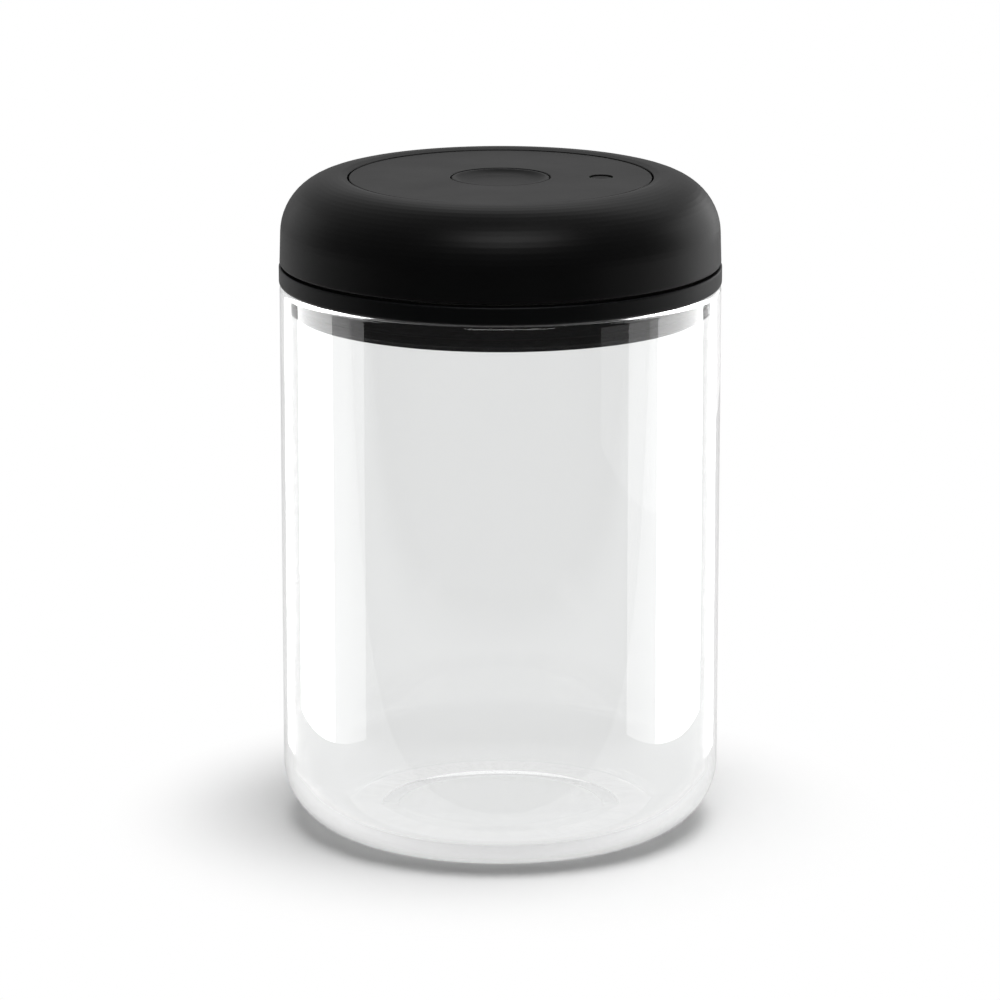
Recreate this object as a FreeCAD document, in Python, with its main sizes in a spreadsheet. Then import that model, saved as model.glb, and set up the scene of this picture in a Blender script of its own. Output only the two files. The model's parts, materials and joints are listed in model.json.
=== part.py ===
"""Vacuum food canister: a glass jar under a twist-to-pump lid.

The grip ring turns on the pump deck's collar and carries a cam plate with one spiral groove for each pump.
Each groove moves the follower of a radial piston, so a twist to and fro draws air out of the jar.
The button in the middle opens the release valve, and the small plunger beside it sinks under vacuum.
Units are millimetres. The origin is on the table under the middle of the jar, with +Z up.
"""

import FreeCAD, Part
import math
import os
import re

import Sketcher

# Driving sizes, in millimetres, degrees or counts.
SIZES = {
    # Glass jar.
    "jar_radius": 61.75,
    "jar_wall": 2.8,
    "jar_height": 155.5,
    "jar_floor": 4.6,
    "jar_corner": 18.0,
    "jar_inner_corner": 14.5,
    "jar_rim_fillet": 1.25,
    "foot_land": 9.75,
    "punt_run": 5.0,
    "punt_depth": 0.9,
    # Lid rim: flange on the jar's rim, and the plug inside it.
    "lid_overhang": 0.2,
    "rim_gap": 0.3,
    "flange_height": 5.2,
    "flange_lower_fillet": 0.95,
    "flange_upper_fillet": 0.5,
    "plug_wall": 2.0,
    "plug_depth": 7.9,
    "plug_lip": 1.4,
    "plug_lip_height": 1.0,
    "rim_ledge": 1.0,
    "rim_ledge_height": 1.0,
    # Gasket round the plug.
    "gasket_gap": 0.3,
    "gasket_thickness": 3.05,
    "gasket_fin_depth": 0.9,
    "gasket_fin_land": 0.8,
    "gasket_fin_count": 3,
    # Pump deck: floor of the lid, bearing collar, release valve seat and tube, and pillars.
    "deck_thickness": 2.5,
    "collar_wall": 4.0,
    "seat_drop": 4.6,
    "seat_air_gap": 0.8,
    "seat_thickness": 2.5,
    "chamber_gap": 1.3,
    "tube_wall": 2.5,
    "tube_gap": 1.25,
    "tube_height": 17.5,
    "pillar_spread_angle": 30.0,
    "pillar_radius": 2.7,
    "pillar_gap": 0.3,
    "pillar_height": 23.0,
    # Bearing of the grip ring.
    "glide_thickness": 1.5,
    "glide_width": 4.2,
    "bearing_gap": 0.3,
    "glide_gap": 0.2,
    "ledge_thickness": 2.5,
    "retainer_overlap": 2.6,
    "retainer_thickness": 1.8,
    # Grip ring.
    "seam_gap": 0.7,
    "cam_head_room": 10.6,
    "grip_wall": 2.0,
    "grip_inset": 0.2,
    "grip_draft": 0.75,
    "grip_edge_fillet": 0.6,
    "shoulder_radius": 16.0,
    "lip_width": 2.3,
    "lip_run": 2.0,
    "lip_drop": 0.4,
    "lip_fillet": 0.3,
    "crest_fillet": 2.4,
    "carrier_inset": 4.8,
    "carrier_width": 4.4,
    # Cam plate.
    "cam_web": 1.2,
    "cam_edge_gap": 2.4,
    "cam_thickness": 4.0,
    "cam_clearance": 0.9,
    "groove_depth": 3.2,
    "groove_gap": 0.25,
    "twist_angle": 75.0,
    # Pumps, laid out along the radius from the lid's axis.
    "pump_count": 2,
    "pump_first_angle": 90.0,
    "pump_bore": 6.0,
    "pump_wall": 1.6,
    "pump_inner_gap": 3.0,
    "pump_head": 2.5,
    "pump_end_gap": 2.2,
    "foot_length": 12.0,
    "ear_reach": 4.3,
    "ear_thickness": 3.0,
    "piston_gap": 0.2,
    "piston_rest_gap": 3.2,
    "piston_length": 5.0,
    "piston_stroke": 9.0,
    "ring_section": 0.85,
    "ring_side_gap": 0.25,
    "rod_radius": 2.8,
    "rod_overhang": 2.4,
    "rod_end_gap": 0.7,
    "follower_pin": 1.8,
    "follower_wall": 0.5,
    "follower_top_gap": 0.3,
    "follower_reach": 1.0,
    # Check valves of the pumps.
    "inlet_chamber": 4.2,
    "inlet_chamber_height": 3.0,
    "port_radius": 1.4,
    "port_length": 1.0,
    "port_gap": 0.2,
    "exhaust_boss": 4.0,
    "exhaust_boss_rise": 1.0,
    "valve_dome": 3.3,
    "valve_dome_height": 1.5,
    "valve_skirt": 0.5,
    "valve_stem": 0.9,
    "valve_stem_gap": 0.05,
    "valve_stem_short": 0.2,
    "vent_radius": 0.6,
    "vent_circle": 2.1,
    "vent_count": 4,
    # Top plate.
    "plate_gap": 0.5,
    "plate_drop": 0.5,
    "plate_thickness": 2.4,
    "plate_edge_fillet": 0.3,
    "guide_wall": 1.5,
    "guide_depth": 5.7,
    # Release button and its valve.
    "button_radius": 13.65,
    "button_gap": 0.35,
    "button_sink": 0.1,
    "button_dish": 1.2,
    "button_dish_floor": 10.4,
    "button_dish_fillet": 8.0,
    "button_rim": 0.9,
    "button_edge_fillet": 0.4,
    "button_thickness": 1.8,
    "button_skirt_wall": 1.6,
    "button_skirt": 7.5,
    "button_boss_gap": 0.65,
    "button_boss_depth": 5.7,
    "stem_radius": 2.4,
    "stem_gap": 0.05,
    "stem_in_boss": 4.0,
    "poppet_rim": 0.6,
    "poppet_thickness": 1.4,
    "poppet_gap": 0.2,
    "poppet_seal_radius": 5.6,
    "poppet_seal_thickness": 0.6,
    "button_spring_radius": 5.4,
    "button_spring_wire": 0.35,
    "button_spring_turns": 9,
    "spring_end_gap": 0.1,
    # Vacuum indicator.
    "indicator_place_share": 0.582,
    "indicator_radius": 2.95,
    "indicator_gap": 0.4,
    "indicator_sink": 0.35,
    "indicator_dimple": 0.5,
    "indicator_rim": 0.5,
    "indicator_head": 5.0,
    "indicator_stem": 1.1,
    "indicator_flange": 3.2,
    "indicator_flange_thickness": 1.4,
    "indicator_port": 1.0,
    "sleeve_wall": 1.2,
    "sleeve_cover": 0.6,
    "sleeve_length": 4.0,
    "housing_radius": 6.0,
    "housing_wall": 1.6,
    "housing_height": 12.0,
    "diaphragm_thickness": 0.6,
    "diaphragm_gap": 0.15,
    "clamp_height": 2.2,
    "indicator_spring_radius": 2.6,
    "indicator_spring_wire": 0.25,
    "indicator_spring_turns": 6,
    # Underside cover and dust filter.
    "cover_gap": 0.3,
    "cover_inset": 0.2,
    "cover_thickness": 1.4,
    "slot_count": 18,
    "slot_start": 19.0,
    "slot_length": 22.0,
    "slot_width": 2.4,
    "slot_fillet_share": 0.48,
    "filter_bore": 10.0,
    # Screws.
    "screw_radius": 1.1,
    "screw_head_radius": 2.0,
    "screw_head_height": 1.6,
    "screw_socket_radius": 0.9,
    "screw_socket_depth": 0.8,
    "screw_gap": 0.15,
    "screw_bite": 1.9,
    "retainer_screw_length": 5.5,
    "retainer_screw_count": 6,
    "cam_screw_length": 5.6,
    "cam_screw_count": 6,
    "long_screw_bite": 4.5,
    # One overrun for every cut that passes a face.
    "overrun": 0.5,
}

# Places and sizes that follow from the driving sizes.
PLACES = {
    "punt_radius": "jar_radius - jar_corner - foot_land",
    "jar_bore": "jar_radius - jar_wall",
    "lid_radius": "jar_radius + lid_overhang",
    "flange_bottom": "jar_height + rim_gap",
    "flange_top": "flange_bottom + flange_height",
    "gasket_radius": "jar_bore - gasket_gap",
    "gasket_root": "gasket_radius - gasket_fin_depth",
    "plug_radius": "gasket_radius - gasket_thickness",
    "plug_bottom": "flange_bottom - plug_depth",
    "plug_lip_top": "plug_bottom + plug_lip_height",
    "fin_pitch": "(flange_bottom - plug_lip_top) / gasket_fin_count",
    "collar_radius": "plug_radius - plug_wall",
    "collar_bore": "collar_radius - collar_wall",
    "cover_bottom": "plug_bottom + cover_inset",
    "cover_top": "cover_bottom + cover_thickness",
    "deck_bottom": "cover_top + rim_ledge_height",
    "deck_top": "deck_bottom + deck_thickness",
    "ledge_bottom": "flange_top + glide_thickness + glide_gap",
    "ledge_top": "ledge_bottom + ledge_thickness",
    "ledge_bore": "collar_radius + bearing_gap",
    "collar_top": "ledge_top + bearing_gap",
    "glide_bore": "collar_radius + 2 * bearing_gap",
    "retainer_radius": "collar_radius + retainer_overlap",
    "retainer_top": "collar_top + retainer_thickness",
    "retainer_screw_circle": "collar_radius - collar_wall / 2",
    "seat_bottom": "deck_bottom + seat_drop",
    "seat_top": "seat_bottom + seat_thickness",
    "seat_hole": "stem_radius + seat_air_gap",
    "poppet_radius": "poppet_seal_radius + poppet_rim",
    "valve_chamber": "poppet_radius + chamber_gap",
    "tube_bore": "button_spring_radius + button_spring_wire + tube_gap",
    "tube_radius": "tube_bore + tube_wall",
    "tube_top": "deck_top + tube_height",
    "pillar_top": "deck_top + pillar_height",
    "pillar_circle": "guide_radius + pillar_gap + pillar_radius",
    "grip_bottom": "flange_top + seam_gap",
    "grip_top": "cam_top + cam_head_room",
    "grip_foot": "lid_radius - grip_inset",
    "grip_shoulder": "grip_foot - grip_draft",
    "grip_bore": "grip_shoulder - grip_wall",
    "shoulder_place": "grip_shoulder - shoulder_radius",
    "shoulder_middle": "grip_top - shoulder_radius",
    "shoulder_inside": "shoulder_radius - grip_wall",
    "lip_bore": "shoulder_place - lip_width",
    "lip_top": "grip_top - lip_drop",
    "carrier_radius": "grip_bore - carrier_inset",
    "carrier_inside": "carrier_radius - carrier_width / 2",
    "carrier_outside": "carrier_radius + carrier_width / 2",
    "carrier_inside_top": "shoulder_middle + sqrt(shoulder_inside^2 - (carrier_inside - shoulder_place)^2)",
    "carrier_outside_top": "shoulder_middle + sqrt(shoulder_inside^2 - (carrier_outside - shoulder_place)^2)",
    "pump_rise": "inlet_chamber_height + port_length + pump_bore",
    "pump_axis": "deck_top + pump_rise",
    "pump_radius": "pump_bore + pump_wall",
    "pump_head_place": "tube_radius + pump_inner_gap",
    "pump_head_face": "pump_head_place + pump_head",
    "pump_end": "follower_place - follower_pin - pump_end_gap",
    "foot_end": "pump_head_place + foot_length",
    "foot_middle": "pump_head_place + foot_length / 2",
    "ear_place": "pump_radius + ear_reach / 2",
    "port_circle": "pump_head_face + port_gap + port_radius",
    "boss_top": "pump_radius + exhaust_boss_rise",
    "piston_place": "pump_head_face + piston_rest_gap",
    "piston_radius": "pump_bore - piston_gap",
    "ring_groove": "piston_radius - 2 * ring_section",
    "ring_place": "piston_place + piston_length / 2",
    "rod_end": "follower_place + rod_overhang",
    "follower_place": "collar_bore - rod_end_gap - piston_stroke - rod_overhang",
    "follower_top": "cam_bottom + groove_depth - follower_top_gap - pump_axis",
    "follower_bottom": "cam_bottom - follower_reach - pump_axis",
    "cam_bottom": "pump_axis + pump_radius + cam_clearance",
    "cam_top": "cam_bottom + cam_thickness",
    "cam_radius": "grip_bore - cam_edge_gap",
    "cam_bore": "follower_place - groove_half_width - cam_web",
    "groove_half_width": "follower_pin + follower_wall + groove_gap",
    "plate_radius": "lip_bore - plate_gap",
    "plate_top": "grip_top - plate_drop",
    "plate_bottom": "plate_top - plate_thickness",
    "button_hole": "button_radius + button_gap",
    "guide_radius": "button_hole + guide_wall",
    "guide_bottom": "plate_bottom - guide_depth",
    "button_top": "plate_top - button_sink",
    "button_floor": "button_top - button_dish",
    "button_under": "button_floor - button_thickness",
    "button_boss": "button_spring_radius - button_spring_wire - button_boss_gap",
    "button_boss_bottom": "button_under - button_boss_depth",
    "stem_top": "button_boss_bottom + stem_in_boss",
    "poppet_seal_top": "seat_bottom - poppet_gap",
    "poppet_top": "poppet_seal_top - poppet_seal_thickness",
    "poppet_bottom": "poppet_top - poppet_thickness",
    "indicator_inner": "guide_radius + sleeve_radius",
    "indicator_place": "indicator_inner + (cam_bore - indicator_inner) * indicator_place_share",
    "indicator_top": "plate_top - indicator_sink",
    "indicator_hole": "indicator_radius + indicator_gap",
    "sleeve_radius": "indicator_hole + sleeve_wall",
    "sleeve_top": "plate_top - sleeve_cover",
    "housing_bore": "housing_radius - housing_wall",
    "housing_top": "deck_top + housing_height",
    "diaphragm_top": "housing_top + diaphragm_thickness",
    "diaphragm_bore": "indicator_stem + diaphragm_gap",
    "indicator_flange_top": "housing_top - diaphragm_gap",
    "indicator_flange_bottom": "indicator_flange_top - indicator_flange_thickness",
    "screw_hole": "screw_radius + screw_gap",
    "screw_head_hole": "screw_head_radius + screw_gap",
    "long_screw_top": "pillar_top + long_screw_bite",
}

UP = FreeCAD.Vector(0, 0, 1)
# Turns a pump piece so that its own Z runs out along the lid's radius and its own X points up.
ALONG_RADIUS = FreeCAD.Rotation(UP, FreeCAD.Vector(0, -1, 0), FreeCAD.Vector(1, 0, 0), "ZXY")

doc = FreeCAD.newDocument("vacuum_canister")
sheet = doc.addObject("Spreadsheet::Sheet", "Sizes")
pieces = []


def fill_sheet():
    """Writes each driving size to a cell of the sheet, with its name as the cell's alias."""
    for row, (name, number) in enumerate(SIZES.items(), 1):
        sheet.set(f"A{row}", name.replace("_", " "))
        sheet.set(f"B{row}", str(number))
        sheet.setAlias(f"B{row}", name)
    doc.recompute()


def formula(text):
    """The text as an expression on the sheet, with the derived places written out."""

    def swap(match):
        word = match.group(0)
        if word in PLACES:
            return f"({formula(PLACES[word])})"
        return f"Sizes.{word}" if word in SIZES else word

    return re.sub(r"[a-z][a-z_0-9]*", swap, text)


def value(text):
    """The number that a formula gives with the sheet's present sizes."""
    return float(sheet.evalExpression(formula(text)))


def counted(text):
    """A count from the sheet, as a whole number."""
    return int(round(value(text)))


def polar(radius, angle):
    """Sheet formulas for the x and y of a point at that radius and angle in degrees."""
    return f"{radius} * cos({angle} deg)", f"{radius} * sin({angle} deg)"


def angles(count, first=0.0):
    """Evenly spaced angles round the lid, in degrees."""
    return [first + 360.0 * k / count for k in range(count)]


def new_body(label):
    body = doc.addObject("PartDesign::Body", label)
    body.Label = label
    return body


def keep(piece):
    """Lists a finished sub-part for export under its label."""
    pieces.append(piece)
    return piece


def place(piece, x="0", y="0", z="0", rotation=None):
    """Puts a piece at a place that follows the sheet."""
    if rotation:
        piece.Placement = FreeCAD.Placement(FreeCAD.Vector(), rotation)
    for axis, text in zip("xyz", (x, y, z)):
        if text != "0":
            piece.setExpression(f"Placement.Base.{axis}", formula(text))
    return piece


def origin_part(body, role):
    return next(f for f in body.Origin.OriginFeatures if f.Role == role)


def new_sketch(body, plane, height="0"):
    """A sketch on one of the body's own planes, raised along the plane's normal."""
    sketch = body.newObject("Sketcher::SketchObject", f"{body.Name}_sketch")
    sketch.AttachmentSupport = [(origin_part(body, plane), "")]
    sketch.MapMode = "FlatFace"
    if height != "0":
        sketch.setExpression("AttachmentOffset.Base.z", formula(height))
    return sketch


def bind(sketch, kind, *where, text):
    """Adds a constraint whose size follows a formula on the sheet."""
    index = sketch.addConstraint(Sketcher.Constraint(kind, *where, value(text)))
    sketch.setExpression(f"Constraints[{index}]", formula(text))


def locate(sketch, shape, point, x, y):
    """Ties a point of the sketch to its place; a zero puts it on the axis."""
    for kind, text, axis in (("DistanceX", x, -2), ("DistanceY", y, -1)):
        if text == "0":
            sketch.addConstraint(Sketcher.Constraint("PointOnObject", shape, point, axis))
        elif value(text) >= 0:
            bind(sketch, kind, -1, 1, shape, point, text=text)
        else:
            bind(sketch, kind, shape, point, -1, 1, text=f"-({text})")


def rounding(before, here, after, radius):
    """Entry, leave, centre and turn of the arc that rounds the corner here."""
    back = (before - here).normalize()
    ahead = (after - here).normalize()
    half = back.getAngle(ahead) / 2
    bisector = (back + ahead).normalize()
    entry = here + back * (radius / math.tan(half))
    leave = here + ahead * (radius / math.tan(half))
    centre = here + bisector * (radius / math.sin(half))
    anticlockwise = (entry - centre).cross(leave - centre).z > 0
    return entry, leave, centre, anticlockwise


def draw_outline(sketch, corners):
    """A closed outline through the corners (x, y) or (x, y, radius), all given as formulas.

    A plain corner joins two lines. A rounded one is a tangent arc, and a construction point on both
    lines holds the sharp corner's place.
    """
    count = len(corners)
    points = [FreeCAD.Vector(value(c[0]), value(c[1]), 0) for c in corners]
    ends = [(p, p) for p in points]
    arcs = {}
    for i, corner in enumerate(corners):
        if len(corner) == 3:
            after = points[(i + 1) % count]
            arcs[i] = rounding(points[i - 1], points[i], after, value(corner[2]))
            ends[i] = arcs[i][:2]
    for i in range(count):
        sketch.addGeometry(Part.LineSegment(ends[i][1], ends[(i + 1) % count][0]), False)
    for i, corner in enumerate(corners):
        before = (i - 1) % count
        if i not in arcs:
            sketch.addConstraint(Sketcher.Constraint("Coincident", before, 2, i, 1))
            locate(sketch, i, 1, corner[0], corner[1])
            continue
        entry, leave, centre, anticlockwise = arcs[i]
        first, last = (entry, leave) if anticlockwise else (leave, entry)
        circle = Part.Circle(centre, UP, value(corner[2]))
        span = (circle.parameter(first), circle.parameter(last))
        arc = sketch.addGeometry(Part.ArcOfCircle(circle, *span), False)
        into, out_of = (1, 2) if anticlockwise else (2, 1)
        sketch.addConstraint(Sketcher.Constraint("Tangent", before, 2, arc, into))
        sketch.addConstraint(Sketcher.Constraint("Tangent", arc, out_of, i, 1))
        bind(sketch, "Radius", arc, text=corner[2])
        sharp = sketch.addGeometry(Part.Point(points[i]), True)
        sketch.addConstraint(Sketcher.Constraint("PointOnObject", sharp, 1, before))
        sketch.addConstraint(Sketcher.Constraint("PointOnObject", sharp, 1, i))
        locate(sketch, sharp, 1, corner[0], corner[1])


def draw_circles(sketch, circles):
    """Circles (x, y, radius), given as formulas."""
    for x, y, radius in circles:
        centre = FreeCAD.Vector(value(x), value(y), 0)
        shape = sketch.addGeometry(Part.Circle(centre, UP, value(radius)), False)
        locate(sketch, shape, 3, x, y)
        bind(sketch, "Radius", shape, text=radius)


def rectangle(x0, y0, x1, y1):
    """Corners of an upright rectangle."""
    return [(x0, y0), (x1, y0), (x1, y1), (x0, y1)]


def finish_feature(body, feature, cuts):
    """Recomputes and makes sure that the feature added or removed material as it should."""
    before = body.Shape.Volume if body.Shape.Solids else 0.0
    doc.recompute()
    after = body.Shape.Volume
    if (after >= before) if cuts else (after <= before):
        raise RuntimeError(f"{feature.Label} in {body.Label} changed nothing")
    return feature


def revolve(body, corners, cuts=False):
    """Turns an outline (radius, height) about the body's own Z axis, adding or cutting."""
    sketch = new_sketch(body, "XZ_Plane")
    draw_outline(sketch, corners)
    feature = body.newObject(f"PartDesign::{'Groove' if cuts else 'Revolution'}", f"{body.Name}_turned")
    feature.Profile = sketch
    feature.ReferenceAxis = (sketch, ["V_Axis"])
    feature.Angle = 360
    return finish_feature(body, feature, cuts)


def extrude(body, plane, height, length, circles=(), outline=(), cuts=False, flip=False):
    """Pads, or cuts, circles or one outline from a plane: pads along its normal and cuts against it."""
    sketch = new_sketch(body, plane, height)
    draw_circles(sketch, circles)
    if outline:
        draw_outline(sketch, outline)
    feature = body.newObject(f"PartDesign::{'Pocket' if cuts else 'Pad'}", f"{body.Name}_extruded")
    feature.Profile = sketch
    feature.setExpression("Length", formula(length))
    feature.Reversed = flip
    return finish_feature(body, feature, cuts)


def repeat_round(body, feature, count):
    """Repeats a feature evenly round the body's Z axis, the number of times that the sheet says."""
    pattern = body.newObject("PartDesign::PolarPattern", f"{body.Name}_round")
    pattern.Originals = [feature]
    pattern.Axis = (origin_part(body, "Z_Axis"), [""])
    pattern.Angle = 360
    pattern.setExpression("Occurrences", formula(count))
    body.Tip = pattern
    doc.recompute()


def turned_piece(label, corners):
    """A sub-part that is one turned solid."""
    body = new_body(label)
    revolve(body, corners)
    return keep(body)


def screw(label, length):
    """A cap screw with a round socket, head underside at its own zero and shank down its own -Z."""
    body = new_body(label)
    revolve(body, [
        ("0", f"-({length})"),
        ("screw_radius", f"-({length})"),
        ("screw_radius", "0"),
        ("screw_head_radius", "0"),
        ("screw_head_radius", "screw_head_height"),
        ("screw_socket_radius", "screw_head_height"),
        ("screw_socket_radius", "screw_head_height - screw_socket_depth"),
        ("0", "screw_head_height - screw_socket_depth"),
    ])
    return body


def screw_group(label, length, places, height, upward=False):
    """Identical screws at (x, y) places, as one sub-part of separate solids."""
    turn = FreeCAD.Rotation(FreeCAD.Vector(1, 0, 0), 180 if upward else 0)
    group = doc.addObject("Part::Compound", label)
    group.Label = label
    group.Links = [
        place(screw(f"{label}_{k}", length), x, y, height, turn) for k, (x, y) in enumerate(places, 1)
    ]
    doc.recompute()
    return keep(group)


def coil_spring(label, radius, wire, turns, bottom, top):
    """A round-wire coil between two seats, clear of both by the wire and a small gap."""
    body = new_body(label)
    sketch = new_sketch(body, "XZ_Plane")
    draw_circles(sketch, [(radius, f"{bottom} + {wire} + spring_end_gap", wire)])
    coil = body.newObject("PartDesign::AdditiveHelix", f"{label}_coil")
    coil.Profile = sketch
    coil.ReferenceAxis = (sketch, ["V_Axis"])
    coil.Mode = "height-turns-angle"
    coil.setExpression("Height", formula(f"{top} - ({bottom}) - 2 * ({wire} + spring_end_gap)"))
    coil.setExpression("Turns", formula(turns))
    coil.Angle = 0
    finish_feature(body, coil, False)
    return keep(body)


def glass_jar():
    """Straight-sided jar with a rounded foot, a shallow punt under it and a fire-rounded rim."""
    turned_piece("glass_jar", [
        ("0", "punt_depth"),
        ("punt_radius - punt_run", "punt_depth"),
        ("punt_radius", "0"),
        ("jar_radius", "0", "jar_corner"),
        ("jar_radius", "jar_height", "jar_rim_fillet"),
        ("jar_bore", "jar_height", "jar_rim_fillet"),
        ("jar_bore", "jar_floor", "jar_inner_corner"),
        ("0", "jar_floor"),
    ])


def lid_rim():
    """Flange that sits on the jar's rim, with the plug that reaches into it and a ledge for the deck."""
    turned_piece("lid_rim", [
        ("collar_radius", "flange_top"),
        ("collar_radius", "deck_bottom"),
        ("collar_radius - rim_ledge", "deck_bottom"),
        ("collar_radius - rim_ledge", "cover_top"),
        ("collar_radius", "cover_top"),
        ("collar_radius", "plug_bottom"),
        ("plug_radius + plug_lip", "plug_bottom", "plug_lip_height / 2"),
        ("plug_radius + plug_lip", "plug_lip_top"),
        ("plug_radius", "plug_lip_top"),
        ("plug_radius", "flange_bottom"),
        ("lid_radius", "flange_bottom", "flange_lower_fillet"),
        ("lid_radius", "flange_top", "flange_upper_fillet"),
    ])


def pump_deck():
    """Floor of the lid with the bearing collar, the release valve's seat and tube, and the pillars."""
    body = new_body("pump_deck")
    revolve(body, [
        ("seat_hole", "seat_bottom"),
        ("valve_chamber", "seat_bottom"),
        ("valve_chamber", "deck_bottom"),
        ("collar_radius", "deck_bottom"),
        ("collar_radius", "collar_top"),
        ("collar_bore", "collar_top"),
        ("collar_bore", "deck_top"),
        ("tube_radius", "deck_top"),
        ("tube_radius", "tube_top"),
        ("tube_bore", "tube_top"),
        ("tube_bore", "seat_top"),
        ("seat_hole", "seat_top"),
    ])
    pillars = pillar_places()
    extrude(body, "XY_Plane", "deck_top", "pillar_height", [(x, y, "pillar_radius") for x, y in pillars])
    extrude(
        body, "XY_Plane", "pillar_top + overrun", "pillar_top - deck_bottom + 2 * overrun",
        [(x, y, "screw_hole") for x, y in pillars], cuts=True,
    )
    extrude(
        body, "XY_Plane", "deck_bottom + screw_head_height", "screw_head_height + overrun",
        [(x, y, "screw_head_hole") for x, y in pillars], cuts=True,
    )
    ports = [("indicator_place", "0", "indicator_port")]
    ear_holes = []
    for angle in pump_angles():
        stem = polar("(foot_middle)", angle)
        ports.append((*stem, "valve_stem + valve_stem_gap"))
        for turn in angles(counted("vent_count"), angle):
            x, y = polar("vent_circle", turn)
            ports.append((f"{stem[0]} + {x}", f"{stem[1]} + {y}", "vent_radius"))
        ear_holes += [(x, y, "screw_radius") for x, y in ear_places(angle)]
    extrude(body, "XY_Plane", "deck_top + overrun", "deck_thickness + 2 * overrun", ports, cuts=True)
    extrude(body, "XY_Plane", "deck_top + overrun", "screw_bite + overrun", ear_holes, cuts=True)
    collar_hole = extrude(
        body, "XY_Plane", "collar_top + overrun", "retainer_screw_length - retainer_thickness + 2 * overrun",
        [("retainer_screw_circle", "0", "screw_radius")], cuts=True,
    )
    repeat_round(body, collar_hole, "retainer_screw_count")
    keep(body)


def pillar_places():
    """Places of the pillars that carry the top plate, in pairs on the left and on the right."""
    spread = value("pillar_spread_angle")
    turns = (spread, 180 - spread, 180 + spread, 360 - spread)
    return [polar("(pillar_circle)", turn) for turn in turns]


def pump_angles():
    return angles(counted("pump_count"), value("pump_first_angle"))


def ear_places(angle):
    """Places of the two foot screws of the pump at that angle."""
    along = polar("(foot_middle)", angle)
    across = polar("(ear_place)", angle + 90)
    return [(f"{along[0]} {sign} {across[0]}", f"{along[1]} {sign} {across[1]}") for sign in "+-"]


def seal_gasket():
    """Soft ring round the plug, with fins that press on the inside of the glass."""
    corners = [("plug_radius", "flange_bottom"), ("plug_radius", "plug_lip_top")]
    for k in range(counted("gasket_fin_count")):
        start = f"plug_lip_top + {k} * fin_pitch"
        corners += [
            ("gasket_root", start),
            ("gasket_radius", f"{start} + (fin_pitch - gasket_fin_land) / 2"),
            ("gasket_radius", f"{start} + (fin_pitch + gasket_fin_land) / 2"),
        ]
    turned_piece("seal_gasket", corners + [("gasket_root", "flange_bottom")])


def grip_bearing():
    """Low-friction ring under the grip ring, and the screwed ring that keeps it down."""
    turned_piece("glide_ring", rectangle(
        "glide_bore", "flange_top", "glide_bore + glide_width", "flange_top + glide_thickness",
    ))
    retainer = new_body("retaining_ring")
    revolve(retainer, rectangle("collar_bore", "collar_top", "retainer_radius", "retainer_top"))
    hole = extrude(
        retainer, "XY_Plane", "retainer_top + overrun", "retainer_thickness + 2 * overrun",
        [("retainer_screw_circle", "0", "screw_hole")], cuts=True,
    )
    repeat_round(retainer, hole, "retainer_screw_count")
    keep(retainer)
    places = [polar("(retainer_screw_circle)", a) for a in angles(counted("retainer_screw_count"))]
    screw_group("retaining_screws", "retainer_screw_length", places, "retainer_top")


def grip_ring():
    """Turning shell with a soft shoulder, a bearing ledge inside it and a rib that carries the cam plate."""
    body = new_body("grip_ring")
    revolve(body, [
        ("grip_foot", "grip_bottom", "grip_edge_fillet"),
        ("grip_shoulder", "grip_top", "shoulder_radius"),
        ("lip_bore + lip_run", "grip_top", "crest_fillet"),
        ("lip_bore", "lip_top", "lip_fillet"),
        ("lip_bore", "shoulder_middle + shoulder_inside"),
        ("shoulder_place", "shoulder_middle + shoulder_inside"),
        ("carrier_inside", "carrier_inside_top"),
        ("carrier_inside", "cam_top"),
        ("carrier_outside", "cam_top"),
        ("carrier_outside", "carrier_outside_top"),
        ("grip_bore", "shoulder_middle"),
        ("grip_bore", "ledge_top"),
        ("ledge_bore", "ledge_top"),
        ("ledge_bore", "ledge_bottom"),
        ("grip_bore", "ledge_bottom"),
        ("grip_bore", "grip_bottom"),
    ])
    depth = "cam_screw_length - cam_thickness + screw_head_height + 2 * overrun"
    hole = extrude(
        body, "XY_Plane", "cam_top - overrun", depth,
        [("carrier_radius", "0", "screw_radius")], cuts=True, flip=True,
    )
    repeat_round(body, hole, "cam_screw_count")
    keep(body)


def spiral_groove(angle):
    """Solid of one cam groove: the follower's radius grows evenly as the plate turns under it.

    The follower's path on the plate is radius = follower_place + stroke * share of the twist, so the
    groove's walls are that spiral offset along its normal, joined by a half circle at each end.
    """
    steps = 24
    start = value("follower_place")
    stroke = value("piston_stroke")
    twist = math.radians(value("twist_angle"))
    half_width = value("groove_half_width")
    rate = stroke / twist

    def wall_point(share, side):
        turn = math.radians(angle) - twist * share
        radius = start + stroke * share
        outward = FreeCAD.Vector(math.cos(turn), math.sin(turn), 0)
        onward = FreeCAD.Vector(math.sin(turn), -math.cos(turn), 0)
        along = onward * radius + outward * rate
        normal = FreeCAD.Vector(-along.y, along.x, 0).normalize()
        return outward * radius + normal * (side * half_width), along.normalize()

    def wall(side):
        curve = Part.BSplineCurve()
        curve.interpolate([wall_point(k / steps, side)[0] for k in range(steps + 1)])
        return curve

    def end_arc(share, forward):
        left, along = wall_point(share, 1)
        right = wall_point(share, -1)[0]
        tip = (left + right) * 0.5 + along * (half_width if forward else -half_width)
        return Part.Arc(left, tip, right)

    edges = [wall(1).toShape(), end_arc(1, True).toShape(), wall(-1).toShape(), end_arc(0, False).toShape()]
    face = Part.Face(Part.Wire(Part.__sortEdges__(edges)))
    face.translate(UP * value("cam_bottom - overrun"))
    return face.extrude(UP * value("groove_depth + overrun"))


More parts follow.
